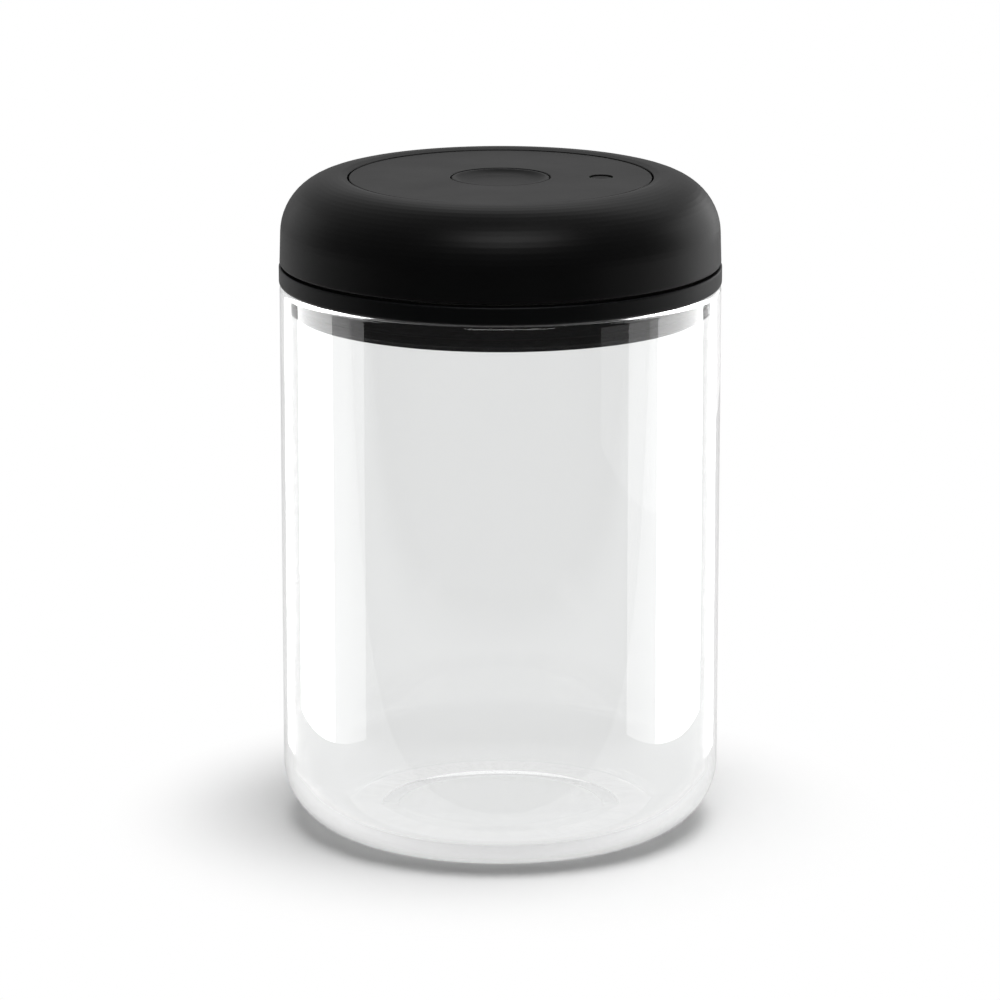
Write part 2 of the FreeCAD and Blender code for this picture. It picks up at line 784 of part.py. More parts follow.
def cam_plate():
    """Plate on the grip ring's rib with one blind spiral groove on its underside for each pump."""
    blank = new_body("cam_blank")
    revolve(blank, rectangle("cam_bore", "cam_bottom", "cam_radius", "cam_top"))
    for radius, depth in (
        ("screw_hole", "cam_thickness + 2 * overrun"),
        ("screw_head_hole", "screw_head_height + overrun"),
    ):
        hole = extrude(
            blank, "XY_Plane", "cam_bottom - overrun", depth,
            [("carrier_radius", "0", radius)], cuts=True, flip=True,
        )
        repeat_round(blank, hole, "cam_screw_count")
    grooves = doc.addObject("Part::Feature", "cam_grooves")
    grooves.Shape = Part.makeCompound([spiral_groove(a) for a in pump_angles()])
    plate = doc.addObject("Part::Cut", "cam_plate")
    plate.Label = "cam_plate"
    plate.Base = blank
    plate.Tool = grooves
    doc.recompute()
    keep(plate)
    places = [polar("(carrier_radius)", a) for a in angles(counted("cam_screw_count"))]
    screw_group("cam_screws", "cam_screw_length", places, "cam_bottom + screw_head_height", upward=True)


def pump(number, angle):
    """One radial pump: cylinder on its foot, piston with seal and follower, and both check valves.

    Its pieces are drawn along their own Z, which lies on the lid's radius, with their own X upward.
    """
    turn = FreeCAD.Rotation(UP, angle) * ALONG_RADIUS
    cylinder = new_body(f"pump_cylinder_{number}")
    extrude(
        cylinder, "YZ_Plane", "-(pump_rise)", "pump_rise",
        outline=rectangle("-(pump_radius)", "pump_head_place", "pump_radius", "foot_end"),
    )
    ear_end = "(pump_radius + ear_reach)"
    extrude(
        cylinder, "YZ_Plane", "-(pump_rise)", "ear_thickness",
        outline=rectangle(f"-{ear_end}", "pump_head_place", ear_end, "foot_end"),
    )
    revolve(cylinder, [
        ("0", "pump_head_place"),
        ("pump_radius", "pump_head_place"),
        ("pump_radius", "pump_end"),
        ("0", "pump_end"),
    ])
    extrude(cylinder, "YZ_Plane", "0", "boss_top", [("0", "port_circle", "exhaust_boss")])
    revolve(cylinder, [
        ("0", "pump_head_face"),
        ("pump_bore", "pump_head_face"),
        ("pump_bore", "pump_end + overrun"),
        ("0", "pump_end + overrun"),
    ], cuts=True)
    under = "-(pump_rise + overrun)"
    extrude(
        cylinder, "YZ_Plane", under, "inlet_chamber_height + overrun",
        [("0", "foot_middle", "inlet_chamber")], cuts=True, flip=True,
    )
    extrude(
        cylinder, "YZ_Plane", under, "pump_rise - pump_bore + 2 * overrun",
        [("0", "port_circle", "port_radius")], cuts=True, flip=True,
    )
    extrude(
        cylinder, "YZ_Plane", under, "ear_thickness + 2 * overrun",
        [(side, "foot_middle", "screw_hole") for side in ("ear_place", "-(ear_place)")], cuts=True, flip=True,
    )
    vents = [(side, "port_circle", "vent_radius") for side in ("vent_circle", "-(vent_circle)")]
    extrude(
        cylinder, "YZ_Plane", "boss_top + overrun", "boss_top - pump_bore + vent_radius + 2 * overrun",
        [("0", "port_circle", "valve_stem + valve_stem_gap"), *vents], cuts=True,
    )
    keep(place(cylinder, z="pump_axis", rotation=turn))

    piston = new_body(f"pump_piston_{number}")
    piston_end = "piston_place + piston_length"
    groove_half = "(ring_section + ring_side_gap)"
    revolve(piston, [
        ("0", "piston_place"),
        ("piston_radius", "piston_place"),
        ("piston_radius", f"ring_place - {groove_half}"),
        ("ring_groove", f"ring_place - {groove_half}"),
        ("ring_groove", f"ring_place + {groove_half}"),
        ("piston_radius", f"ring_place + {groove_half}"),
        ("piston_radius", piston_end),
        ("rod_radius", piston_end),
        ("rod_radius", "rod_end"),
        ("0", "rod_end"),
    ])
    extrude(piston, "YZ_Plane", "0", "follower_top", [("0", "follower_place", "follower_pin")])
    keep(place(piston, z="pump_axis", rotation=turn))

    ring = doc.addObject("Part::Torus", f"piston_ring_{number}")
    ring.Label = f"piston_ring_{number}"
    ring.setExpression("Radius1", formula("piston_radius - ring_section"))
    ring.setExpression("Radius2", formula("ring_section"))
    ring_x, ring_y = polar("(ring_place)", angle)
    keep(place(ring, ring_x, ring_y, "pump_axis", turn))

    sleeve = turned_piece(f"follower_sleeve_{number}", rectangle(
        "follower_pin", "follower_bottom", "follower_pin + follower_wall", "follower_top",
    ))
    sleeve_x, sleeve_y = polar("(follower_place)", angle)
    place(sleeve, sleeve_x, sleeve_y, "pump_axis")

    inlet_x, inlet_y = polar("(foot_middle)", angle)
    inlet = umbrella_valve(f"inlet_valve_{number}", "deck_thickness - valve_stem_short")
    place(inlet, inlet_x, inlet_y, "deck_top")
    exhaust_x, exhaust_y = polar("(port_circle)", angle)
    exhaust = umbrella_valve(f"exhaust_valve_{number}", "boss_top - pump_bore - valve_stem_short")
    place(exhaust, exhaust_x, exhaust_y, "pump_axis + boss_top")


def umbrella_valve(label, stem_length):
    """Rubber mushroom valve: a domed skirt that lies on the vents, on a stem that holds it in its hole."""
    return turned_piece(label, [
        ("0", f"-({stem_length})"),
        ("valve_stem", f"-({stem_length})"),
        ("valve_stem", "0"),
        ("valve_dome", "0"),
        ("valve_dome", "valve_skirt"),
        ("valve_dome / 2", "valve_dome_height", "valve_dome"),
        ("0", "valve_dome_height"),
    ])


def pumps():
    """All the pumps and the screws that hold their feet to the deck."""
    places = []
    for number, angle in enumerate(pump_angles(), 1):
        pump(number, angle)
        places += ear_places(angle)
    screw_group("pump_screws", "ear_thickness + screw_bite", places, "deck_top + ear_thickness")


def top_plate():
    """Stationary plate inside the grip ring, with the button's guide, bosses and the indicator's hole."""
    body = new_body("top_plate")
    revolve(body, [
        ("button_hole", "guide_bottom"),
        ("guide_radius", "guide_bottom"),
        ("guide_radius", "plate_bottom"),
        ("plate_radius", "plate_bottom"),
        ("plate_radius", "plate_top", "plate_edge_fillet"),
        ("button_hole", "plate_top", "plate_edge_fillet"),
    ])
    bosses = pillar_places()
    extrude(
        body, "XY_Plane", "pillar_top", "plate_bottom - pillar_top + overrun",
        [(x, y, "pillar_radius") for x, y in bosses],
    )
    extrude(
        body, "XY_Plane", "pillar_top - overrun", "long_screw_bite + 2 * overrun",
        [(x, y, "screw_radius") for x, y in bosses], cuts=True, flip=True,
    )
    indicator = [("indicator_place", "0", "indicator_hole")]
    extrude(body, "XY_Plane", "plate_top + overrun", "plate_thickness + 2 * overrun", indicator, cuts=True)
    seat = [("indicator_place", "0", "sleeve_radius")]
    extrude(body, "XY_Plane", "sleeve_top", "sleeve_top - plate_bottom + overrun", seat, cuts=True)
    keep(body)
    length = "long_screw_top - deck_bottom - screw_head_height"
    screw_group("top_plate_screws", length, bosses, "deck_bottom + screw_head_height", upward=True)


def release_button():
    """Dished button, its stem with the poppet, the poppet's seal and the return spring."""
    skirt_bottom = "button_top - button_skirt"
    skirt_bore = "button_radius - button_skirt_wall"
    stem_bore = "stem_radius + stem_gap"
    turned_piece("button_cap", [
        ("0", "button_floor"),
        ("button_dish_floor", "button_floor", "button_dish_fillet"),
        ("button_radius - button_rim", "button_top"),
        ("button_radius", "button_top", "button_edge_fillet"),
        ("button_radius", skirt_bottom),
        (skirt_bore, skirt_bottom),
        (skirt_bore, "button_under"),
        ("button_boss", "button_under"),
        ("button_boss", "button_boss_bottom"),
        (stem_bore, "button_boss_bottom"),
        (stem_bore, "stem_top"),
        ("0", "stem_top"),
    ])
    turned_piece("release_stem", [
        ("0", "poppet_bottom"),
        ("poppet_radius", "poppet_bottom"),
        ("poppet_radius", "poppet_top"),
        ("stem_radius", "poppet_top"),
        ("stem_radius", "stem_top"),
        ("0", "stem_top"),
    ])
    turned_piece("poppet_seal", rectangle(
        "stem_radius", "poppet_top", "poppet_seal_radius", "poppet_seal_top",
    ))
    coil_spring(
        "button_spring", "button_spring_radius", "button_spring_wire", "button_spring_turns",
        "seat_top", "button_under",
    )


def vacuum_indicator():
    """Plunger on a diaphragm over a port to the jar, in a coloured sleeve that shows when it sinks."""
    stem_bottom = "indicator_flange_bottom"
    plunger = turned_piece("indicator_plunger", [
        ("0", stem_bottom),
        ("indicator_flange", stem_bottom),
        ("indicator_flange", "indicator_flange_top"),
        ("indicator_stem", "indicator_flange_top"),
        ("indicator_stem", "indicator_top - indicator_head"),
        ("indicator_radius", "indicator_top - indicator_head"),
        ("indicator_radius", "indicator_top"),
        ("indicator_radius - indicator_rim", "indicator_top"),
        ("0", "indicator_top - indicator_dimple"),
    ])
    sleeve = turned_piece("indicator_sleeve", rectangle(
        "indicator_hole", "sleeve_top - sleeve_length", "sleeve_radius", "sleeve_top",
    ))
    housing = turned_piece("indicator_housing", rectangle(
        "housing_bore", "deck_top", "housing_radius", "housing_top",
    ))
    diaphragm = turned_piece("indicator_diaphragm", rectangle(
        "diaphragm_bore", "housing_top", "housing_radius", "diaphragm_top",
    ))
    clamp = turned_piece("indicator_clamp", rectangle(
        "housing_bore", "diaphragm_top", "housing_radius", "diaphragm_top + clamp_height",
    ))
    spring = coil_spring(
        "indicator_spring", "indicator_spring_radius", "indicator_spring_wire", "indicator_spring_turns",
        "deck_top", "indicator_flange_bottom",
    )
    for piece in (plunger, sleeve, housing, diaphragm, clamp, spring):
        place(piece, x="indicator_place")


def underside():
    """Slotted cover in the plug's recess, with the dust filter between it and the deck."""
    cover = new_body("underside_cover")
    revolve(cover, [
        ("0", "cover_bottom"),
        ("collar_radius - cover_gap", "cover_bottom"),
        ("collar_radius - cover_gap", "cover_top"),
        ("0", "cover_top"),
    ])
    corners = rectangle("slot_start", "-(slot_width / 2)", "slot_start + slot_length", "slot_width / 2")
    slot = extrude(
        cover, "XY_Plane", "cover_top + overrun", "cover_thickness + 2 * overrun", cuts=True,
        outline=[(x, y, "slot_width * slot_fillet_share") for x, y in corners],
    )
    repeat_round(cover, slot, "slot_count")
    keep(cover)
    turned_piece("dust_filter", rectangle(
        "filter_bore", "cover_top", "collar_radius - rim_ledge - cover_gap", "deck_bottom",
    ))


def check_document():
    """Stops if any object failed to recompute or any sub-part isn't a sound solid."""
    doc.recompute()
    failed = [o.Label for o in doc.Objects if {"Invalid", "Error"} & set(o.State)]
    unsound = [p.Label for p in pieces if p.Shape.isNull() or not p.Shape.isValid() or not p.Shape.Solids]
    if failed or unsound:
        raise RuntimeError(f"failed objects {failed}, unsound pieces {unsound}")


def export():
    """Writes each sub-part to its own STEP file."""
    os.makedirs("parts", exist_ok=True)
    for piece in pieces:
        piece.Shape.exportStep(os.path.join("parts", f"{piece.Label}.step"))
    print(f"{len(pieces)} sub-parts written")


fill_sheet()
glass_jar()
lid_rim()
seal_gasket()
pump_deck()
grip_bearing()
grip_ring()
cam_plate()
pumps()
top_plate()
release_button()
vacuum_indicator()
underside()
doc.recompute()
check_document()
export()
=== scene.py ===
"""Dresses the packed vacuum canister: smooth shells for what shows, finishes and a studio stage."""

import json

import bpy
import numpy as np
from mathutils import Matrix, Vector
from bpy.props import FloatProperty, FloatVectorProperty, IntProperty, PointerProperty
from bpy.types import Operator, Panel, PropertyGroup


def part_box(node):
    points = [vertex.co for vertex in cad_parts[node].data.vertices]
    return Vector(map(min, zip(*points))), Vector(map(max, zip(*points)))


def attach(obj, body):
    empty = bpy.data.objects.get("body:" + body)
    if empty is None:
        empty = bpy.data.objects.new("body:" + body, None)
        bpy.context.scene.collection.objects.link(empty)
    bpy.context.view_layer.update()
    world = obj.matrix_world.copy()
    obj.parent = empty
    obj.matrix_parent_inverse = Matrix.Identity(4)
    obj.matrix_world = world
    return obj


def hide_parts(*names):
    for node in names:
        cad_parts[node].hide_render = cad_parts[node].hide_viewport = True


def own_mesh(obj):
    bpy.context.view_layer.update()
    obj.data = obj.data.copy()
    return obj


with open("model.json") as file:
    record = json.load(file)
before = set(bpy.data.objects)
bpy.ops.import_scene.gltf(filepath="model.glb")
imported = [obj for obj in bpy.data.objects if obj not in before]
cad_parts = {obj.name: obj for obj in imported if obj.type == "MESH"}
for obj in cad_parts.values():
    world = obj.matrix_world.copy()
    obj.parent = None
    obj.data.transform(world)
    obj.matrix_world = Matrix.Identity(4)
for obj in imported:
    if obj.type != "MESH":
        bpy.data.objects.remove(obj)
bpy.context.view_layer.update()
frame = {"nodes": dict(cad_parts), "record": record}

bl_info = {
    "name": "Vacuum canister",
    "version": (1, 0, 0),
    "blender": (4, 5, 0),
    "location": "View3D > Sidebar > Canister",
    "description": "Dresses a vacuum canister's solids with smooth shells, finishes and a studio stage",
    "category": "Object",
}

MM = 0.001
TURN = 2.0 * np.pi
ARC_STEP = np.radians(6.0)  # largest turn between two points of an eased corner
GLASS_ARC_STEP = np.radians(1.5)
LEAST_ARC_POINTS = 5
RUN_SUPPORT = 0.25 * MM  # distance of the points that keep a run's shading flat from its ends
WORN_EASE = 3.0 * MM  # corners eased by less than this rub bare first
EDGE_LAYER = "edge"
HOLE_WINDOW = 6.0 * MM  # half the width of the block that makes room for the plate's hole
HOLE_RINGS = 9  # rows of that block
BOSS_BEARINGS = np.radians([30.0, 150.0, 210.0, 330.0])
BUTTON_AROUND = 192
PIN_AROUND = 96
END_PITCH = 2.5  # rise of a spring's end turns, in radii of its wire
COIL_STEPS = 48  # divisions of a spring's turn
WIRE_SIDES = 16  # faces round a spring's wire

# Finishes: scales are per metre, ranges are of a noise's value.
NOISE_ROUGHNESS = 0.55
PATCH_RANGE = (0.3, 0.7)
PATCH_TONE = (0.86, 1.14)  # darkest and palest patch of a moulding
PEBBLE_SCALE = 0.6  # as a share of the grain's
PEBBLE_HEIGHT = 0.5
SCUFF_SCALE = 900.0
SCUFF_RANGE = (0.42, 0.66)
RING_STRETCH = (1.0, 1.0, 30.0)
RING_SCALE = 220.0
RING_GLOSS = 0.25  # swing of a metal's roughness over its rings
STAIN_SCALE = 130.0
STAIN_RANGE = (0.45, 0.75)
MOST_STAIN = 0.6
RIPPLE_SCALE = 28.0
RIPPLE_STRENGTH = 0.04
GLASS_DEPTH = (0.0, 0.01, 0.01, 1.0)  # tint of the light that has gone a long way in the glass
GLASS_SHADE = (0.2, 0.2, 0.2, 1.0)  # share of a lamp's light that one surface of the glass lets through
MOST_TURNS = 2.5  # turns inside the glass after which light goes straight on
FELT_COLOURS = ((0.5, 0.47, 0.41, 1.0), (0.62, 0.6, 0.54, 1.0))
FELT_TONE = (0.78, 1.1)
FELT_ROUGHNESS = (0.85, 1.0)

# Stage, in metres: the table ends a little in front of the canister.
FLOOR_CORNERS = [(-6.0, -0.125, 0.0), (6.0, -0.125, 0.0), (6.0, 6.0, 0.0), (-6.0, 6.0, 0.0)]
SHADOW_REACH = (0.055, 0.115)  # distances over which the floor goes over to plain white
TABLE_EDGE = (-0.125, -0.02)  # distances behind the axis over which the table fades in the glass
BACKDROP_EDGE = (-0.1, 0.3)  # share of the way back over which the white behind begins
ROOM_SLOPE = (-0.3, 0.9)  # share of the way back over which the room brightens
SOFTBOXES = {  # place, aim, width and height
    "key": ((0.15, -0.25, 1.2), (0.0, 0.0, 0.1), 1.0, 0.8),
    "brow": ((0.08, -0.7, 1.2), (0.0, 0.0, 0.17), 0.8, 0.45),
    "crest": ((0.35, 0.8, 1.05), (0.0, 0.0, 0.17), 1.2, 0.55),
    "right": ((0.45, 0.6, 0.23), (0.0, 0.6, 0.23), 1.0, 0.37),
    "low": ((0.45, -0.12, 0.05), (0.0, -0.12, 0.05), 0.5, 0.1),
    "left": ((-0.45, 0.51, 0.24), (0.0, 0.51, 0.24), 0.68, 0.36),
}
SIDE_PANELS = {  # distance to the side, and first and last distance behind the axis
    "left_front": (-0.16, -0.082, -0.026),
    "right_front": (0.16, -0.097, -0.045),
    "left_back": (-0.16, -0.026, 0.065),
    "right_back": (0.16, -0.045, 0.065),
}
PANEL_HEIGHT = 0.3
SENSOR_WIDTH = 36.0  # in millimetres


def turned_extent(node):
    """Greatest radius about the canister's axis, lowest height and highest height of a turned node."""
    low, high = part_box(node)
    return high.x, low.z, high.z


JAR_RADIUS, JAR_BOTTOM, JAR_TOP = turned_extent("glass_jar")
RIM_RADIUS, RIM_BOTTOM, RIM_TOP = turned_extent("lid_rim")
GASKET_RADIUS, GASKET_BOTTOM, GASKET_TOP = turned_extent("seal_gasket")
GRIP_RADIUS, GRIP_BOTTOM, GRIP_TOP = turned_extent("grip_ring")
PLATE_RADIUS, BOSS_BOTTOM, PLATE_TOP = turned_extent("top_plate")
BUTTON_RADIUS, _, BUTTON_TOP = turned_extent("button_cap")
CAM_TOP = turned_extent("cam_plate")[2]
STEM_TOP = turned_extent("release_stem")[2]
FILTER_BOTTOM, FILTER_TOP = turned_extent("dust_filter")[1:]
PIN_LOW, PIN_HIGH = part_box("indicator_plunger")
COLLAR_LOW, COLLAR_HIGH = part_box("indicator_sleeve")
INDICATOR_PLACE = (COLLAR_LOW.x + COLLAR_HIGH.x) / 2


def length(name, description, millimetres):
    """A length setting whose default is given in millimetres."""
    return FloatProperty(
        name=name, description=description, default=millimetres * MM, min=0.0, unit="LENGTH", precision=5,
    )


def metres(name, description, default):
    """A length setting in metres, of either sign."""
    return FloatProperty(name=name, description=description, default=default, unit="LENGTH", precision=5)


def colour(name, description, shade):
    """A colour setting."""
    return FloatVectorProperty(
        name=name, description=description, default=shade, min=0.0, max=1.0, size=3, subtype="COLOR",
    )


def amount(name, description, default, most=10.0):
    """A plain number setting."""
    return FloatProperty(name=name, description=description, default=default, min=0.0, max=most)


def count(name, description, default, least=4, most=720):
    """A whole number setting."""
    return IntProperty(name=name, description=description, default=default, min=least, max=most)


class JarSettings(PropertyGroup):
    """Sizes and glass of the jar."""

    around: count("Divisions", "Faces round the jar", 256, 32)
    wall: length("Wall", "Thickness of the straight wall", 2.8)
    floor: length("Floor", "Height of the inside floor", 4.6)
    foot: length("Foot radius", "Rounding of the foot outside", 18.0)
    inner_foot: length("Inner radius", "Rounding of the foot inside", 14.5)
    lip: length("Lip rounding", "Rounding of the rim's edges", 1.25)
    punt: length("Punt radius", "Radius of the hollow under the foot", 34.0)
    punt_run: length("Punt slope", "Width of the slope into the hollow", 5.0)
    punt_depth: length("Punt depth", "Depth of the hollow under the foot", 0.9)
    punt_ease: length("Punt rounding", "Rounding of the hollow's edges", 3.0)
    tint: colour("Tint", "Colour that the glass gives to light", (0.94, 0.944, 0.943))
    density: amount("Depth tint", "Light that a metre of the glass takes up", 6.0)


class LidSettings(PropertyGroup):
    """Sizes and colours of the lid's rim, seal and turning shell."""

    around: count("Divisions", "Faces round the lid", 256, 32)
    break_edge: length("Broken edge", "Rounding of edges that look sharp", 0.15)
    plug_bore: length("Plug bore", "Inside radius of the rim's plug", 53.6)
    plug_catch: length("Plug catch", "Inside radius of the ridge that holds the cover", 52.6)
    plug_radius: length("Plug radius", "Outside radius of the plug behind the seal", 55.6)
    plug_lip: length("Plug lip", "Radius of the lip under the seal", 57.0)
    flange_corner: length("Flange rounding", "Rounding of the flange's lower edge", 0.95)
    fin_root: length("Seal root", "Radius of the seal between its fins", 57.75)
    fin_land: length("Fin land", "Flat height on each fin", 0.8)
    fins: count("Fins", "Fins on the seal", 3, 1, 6)
    draft: length("Draft", "How far the shell leans in towards its top", 0.75)
    shoulder: length("Shoulder radius", "Rounding of the shell's shoulder", 16.0)
    crest: length("Crest rounding", "Rounding where the shell's top turns down to the plate", 2.4)
    lip_run: length("Lip slope", "Width of the slope down to the plate", 2.0)
    lip_drop: length("Lip drop", "Height of the slope down to the plate", 0.4)
    plate_seam: length("Plate seam", "Gap between the shell and the plate", 0.5)
    lip_depth: length("Lip depth", "Height of the shell's inner edge", 1.6)
    wall: length("Shell wall", "Thickness of the shell", 2.0)
    rib_inside: length("Rib inside", "Inside radius of the rib that carries the cam plate", 52.0)
    rib_outside: length("Rib outside", "Outside radius of that rib", 56.4)
    ledge_bore: length("Ledge bore", "Inside radius of the bearing ledge", 53.9)
    ledge_thick: length("Ledge thickness", "Height of the bearing ledge", 2.5)
    ledge_rise: length("Ledge rise", "Height of the ledge over the shell's lower edge", 1.0)
    shell_colour: colour("Shell colour", "Colour of the shell, plate and button", (0.0042, 0.0042, 0.0043))
    rim_colour: colour("Rim colour", "Colour of the rim and underside", (0.0038, 0.004, 0.0044))
    seal_colour: colour("Seal colour", "Colour of the soft seal", (0.0035, 0.0035, 0.0038))


class TopSettings(PropertyGroup):
    """Sizes of the top plate, the button and the indicator."""

    around: count("Divisions", "Faces round the plate", 360, 90)
    plate_thick: length("Plate thickness", "Thickness of the top plate", 2.4)
    plate_edge: length("Plate edge", "Rounding of the plate's edges", 0.3)
    button_gap: length("Button gap", "Gap round the button", 0.35)
    guide_wall: length("Guide wall", "Wall of the tube that guides the button", 1.5)
    guide_length: length("Guide length", "Length of that tube under the plate", 5.7)
    boss_radius: length("Boss radius", "Radius of the plate's screw bosses", 2.7)
    boss_bore: length("Boss bore", "Radius of the bosses' screw holes", 1.25)
    boss_spread: length("Boss spread", "Distance of the bosses from the axis", 18.5)
    dish_depth: length("Dish depth", "Depth of the button's dish", 1.2)
    dish_floor: length("Dish floor", "Radius of the dish's flat middle", 10.4)
    dish_blend: length("Dish blend", "Rounding between the dish's floor and slope", 8.0)
    button_rim: length("Button rim", "Width of the button's flat rim", 0.9)
    button_edge: length("Button edge", "Rounding of the button's edge", 0.4)
    button_skirt: length("Skirt wall", "Wall of the button's skirt", 1.6)
    skirt_depth: length("Skirt depth", "Height of the button's skirt", 7.5)
    button_web: length("Button web", "Height from the button's top to its underside", 3.0)
    stem_socket: length("Stem socket", "Radius of the stem's socket", 2.45)
    stem_boss: length("Stem boss", "Outside radius of that socket", 4.4)
    boss_bottom: length("Socket depth", "Height from the button's top to the socket's mouth", 8.7)
    pin_rim: length("Pin rim", "Width of the indicator's flat rim", 0.5)
    pin_dimple: length("Pin dimple", "Depth of the indicator's dimple", 0.5)
    pin_head: length("Pin head", "Height of the indicator's head", 5.0)
    pin_radius: length("Pin radius", "Radius of the indicator's head", 2.95)
    pin_gap: length("Pin gap", "Gap round the indicator's head", 0.4)
    pin_stem: length("Pin stem", "Radius of the indicator's stem", 1.1)
    pin_flange: length("Pin flange", "Height of the indicator's flange", 1.4)
    button_wire: length("Button spring wire", "Radius of the button spring's wire", 0.35)
    button_turns: count("Button spring turns", "Turns of the button spring's wire", 9)
    pin_wire: length("Indicator spring wire", "Radius of the indicator spring's wire", 0.25)
    pin_turns: count("Indicator spring turns", "Turns of the indicator spring's wire", 6)


class StageSettings(PropertyGroup):
    """Floor, light and camera."""

    floor_colour: colour("Floor colour", "Colour of the floor", (0.92, 0.92, 0.92))
    floor_gain: amount("Floor gain", "How much paler the floor is to the eye alone", 1.2)
    camera_side: metres("Camera side", "Camera's distance to the right of the axis", -0.00012)
    camera_back: metres("Camera back", "Camera's distance in front of the axis", 1.4663)
    camera_height: metres("Camera height", "Camera's height over the floor", 0.4501)
    camera_pitch: FloatProperty(
        name="Camera pitch", description="Angle below the horizon", default=np.radians(13.69),
        subtype="ANGLE",
    )
    lens: FloatProperty(name="Lens", description="Focal length in millimetres", default=192.3)
    world_front: amount("Front light", "Brightness of the room in front", 0.09)
    world_back: amount("Back light", "Brightness of the room behind", 0.4)
    key_light: amount("Overhead softbox", "Brightness of the softbox above", 4.6)
    brow_light: amount("Front softbox", "Brightness of the softbox high in front", 3.2)
    crest_light: amount("Back softbox", "Brightness of the softbox high behind", 0.5)
    right_light: amount("Right softbox", "Brightness of the softbox at the right", 1.0)
    low_light: amount("Low softbox", "Brightness of the low softbox at the right", 0.6)
    left_light: amount("Left softbox", "Brightness of the softbox at the left", 0.25)
    panel_front: amount("Front panels", "Brightness of the panels beside the glass", 1.9)
    panel_back: amount("Back panels", "Brightness of the panels behind those", 6.0)


def unit(vectors):
    """Vectors divided by their lengths."""
    return vectors / np.linalg.norm(vectors, axis=-1, keepdims=True)


def eased_outline(corners, arc_step=ARC_STEP):
    """Points of a profile given by corners (radius, height, ease), and a weight that is 1 on small eases.

    A corner with unit vectors a and b towards its neighbours turns the profile by an angle w. An arc of
    radius e about the point e / cos(w / 2) along a + b replaces it. With u and v from that middle to the
    arc's ends, its points are middle + (sin((1 - t) w) u + sin(t w) v) / sin(w) for t from 0 to 1.
    """
    places = np.array([corner[:2] for corner in corners])
    eases = [corner[2] for corner in corners]
    back = unit(np.roll(places, 1, axis=0) - places)
    ahead = unit(np.roll(places, -1, axis=0) - places)
    turns = np.pi - np.arccos(np.clip((back * ahead).sum(axis=1), -1.0, 1.0))
    points, weights = [], []
    for place, ease, a, b, turn in zip(places, eases, back, ahead, turns):
        if ease == 0.0:
            points.append(place[None])
            weights.append(np.zeros(1))
            continue
        middle = place + unit(a + b) * ease / np.cos(turn / 2)
        reach = ease * np.tan(turn / 2)
        u = place + a * reach - middle
        v = place + b * reach - middle
        count = max(LEAST_ARC_POINTS, int(np.ceil(turn / arc_step)) + 1)
        t = np.linspace(0.0, 1.0, count)[:, None]
        points.append(middle + (np.sin((1 - t) * turn) * u + np.sin(t * turn) * v) / np.sin(turn))
        weights.append(np.full(count, float(ease < WORN_EASE)))
    return np.concatenate(points), np.concatenate(weights)


def support_runs(points, weights, closed):
    """Adds a point near both ends of each long run of a profile, so that its shading stays flat."""
    starts = points if closed else points[:-1]
    runs = (np.roll(points, -1, axis=0) if closed else points[1:]) - starts
    lengths = np.linalg.norm(runs, axis=1)
    near = RUN_SUPPORT / np.maximum(lengths, RUN_SUPPORT)
    shares = np.stack([np.zeros_like(near), near, 1.0 - near], axis=1)
    long = lengths > 4 * RUN_SUPPORT
    keep = np.stack([np.ones_like(long), long, long], axis=1)
    spread = (starts[:, None] + shares[..., None] * runs[:, None])[keep]
    first = np.array([1.0, 0.0, 0.0])
    spread_weights = (weights[:len(starts), None] * first)[keep]
    if closed:
        return spread, spread_weights
    return np.concatenate([spread, points[-1:]]), np.concatenate([spread_weights, weights[-1:]])


def grid_faces(numbers, closed):
    """Quads between the neighbouring rows of a grid of point numbers whose columns close into a ring."""
    here = numbers if closed else numbers[:-1]
    ahead = np.roll(numbers, -1, axis=0) if closed else numbers[1:]
    return np.stack([here, np.roll(here, -1, axis=1), np.roll(ahead, -1, axis=1), ahead], axis=-1)


def spun(points, around, closed, centre=(0.0, 0.0)):
    """Carries a profile round a vertical axis: x = cx + r cos(a), y = cy + r sin(a), z = height.

    Gives the points, row by row, and a grid of their numbers. A row on the axis has one number.
    """
    angles = np.arange(around) / around * TURN
    radii = points[:, :1]
    x = centre[0] + radii * np.cos(angles)
    y = centre[1] + radii * np.sin(angles)
    z = np.broadcast_to(points[:, 1:], x.shape)
    numbers = np.arange(x.size).reshape(x.shape)
    if not closed:
        on_axis = points[:, 0] == 0.0
        numbers[on_axis] = numbers[on_axis, :1]
    return np.stack([x, y, z], axis=-1).reshape(-1, 3), numbers


def placed(name, data):
    """A new object in the scene for a mesh, a lamp or a camera."""
    thing = bpy.data.objects.new(name, data)
    bpy.context.scene.collection.objects.link(thing)
    return thing


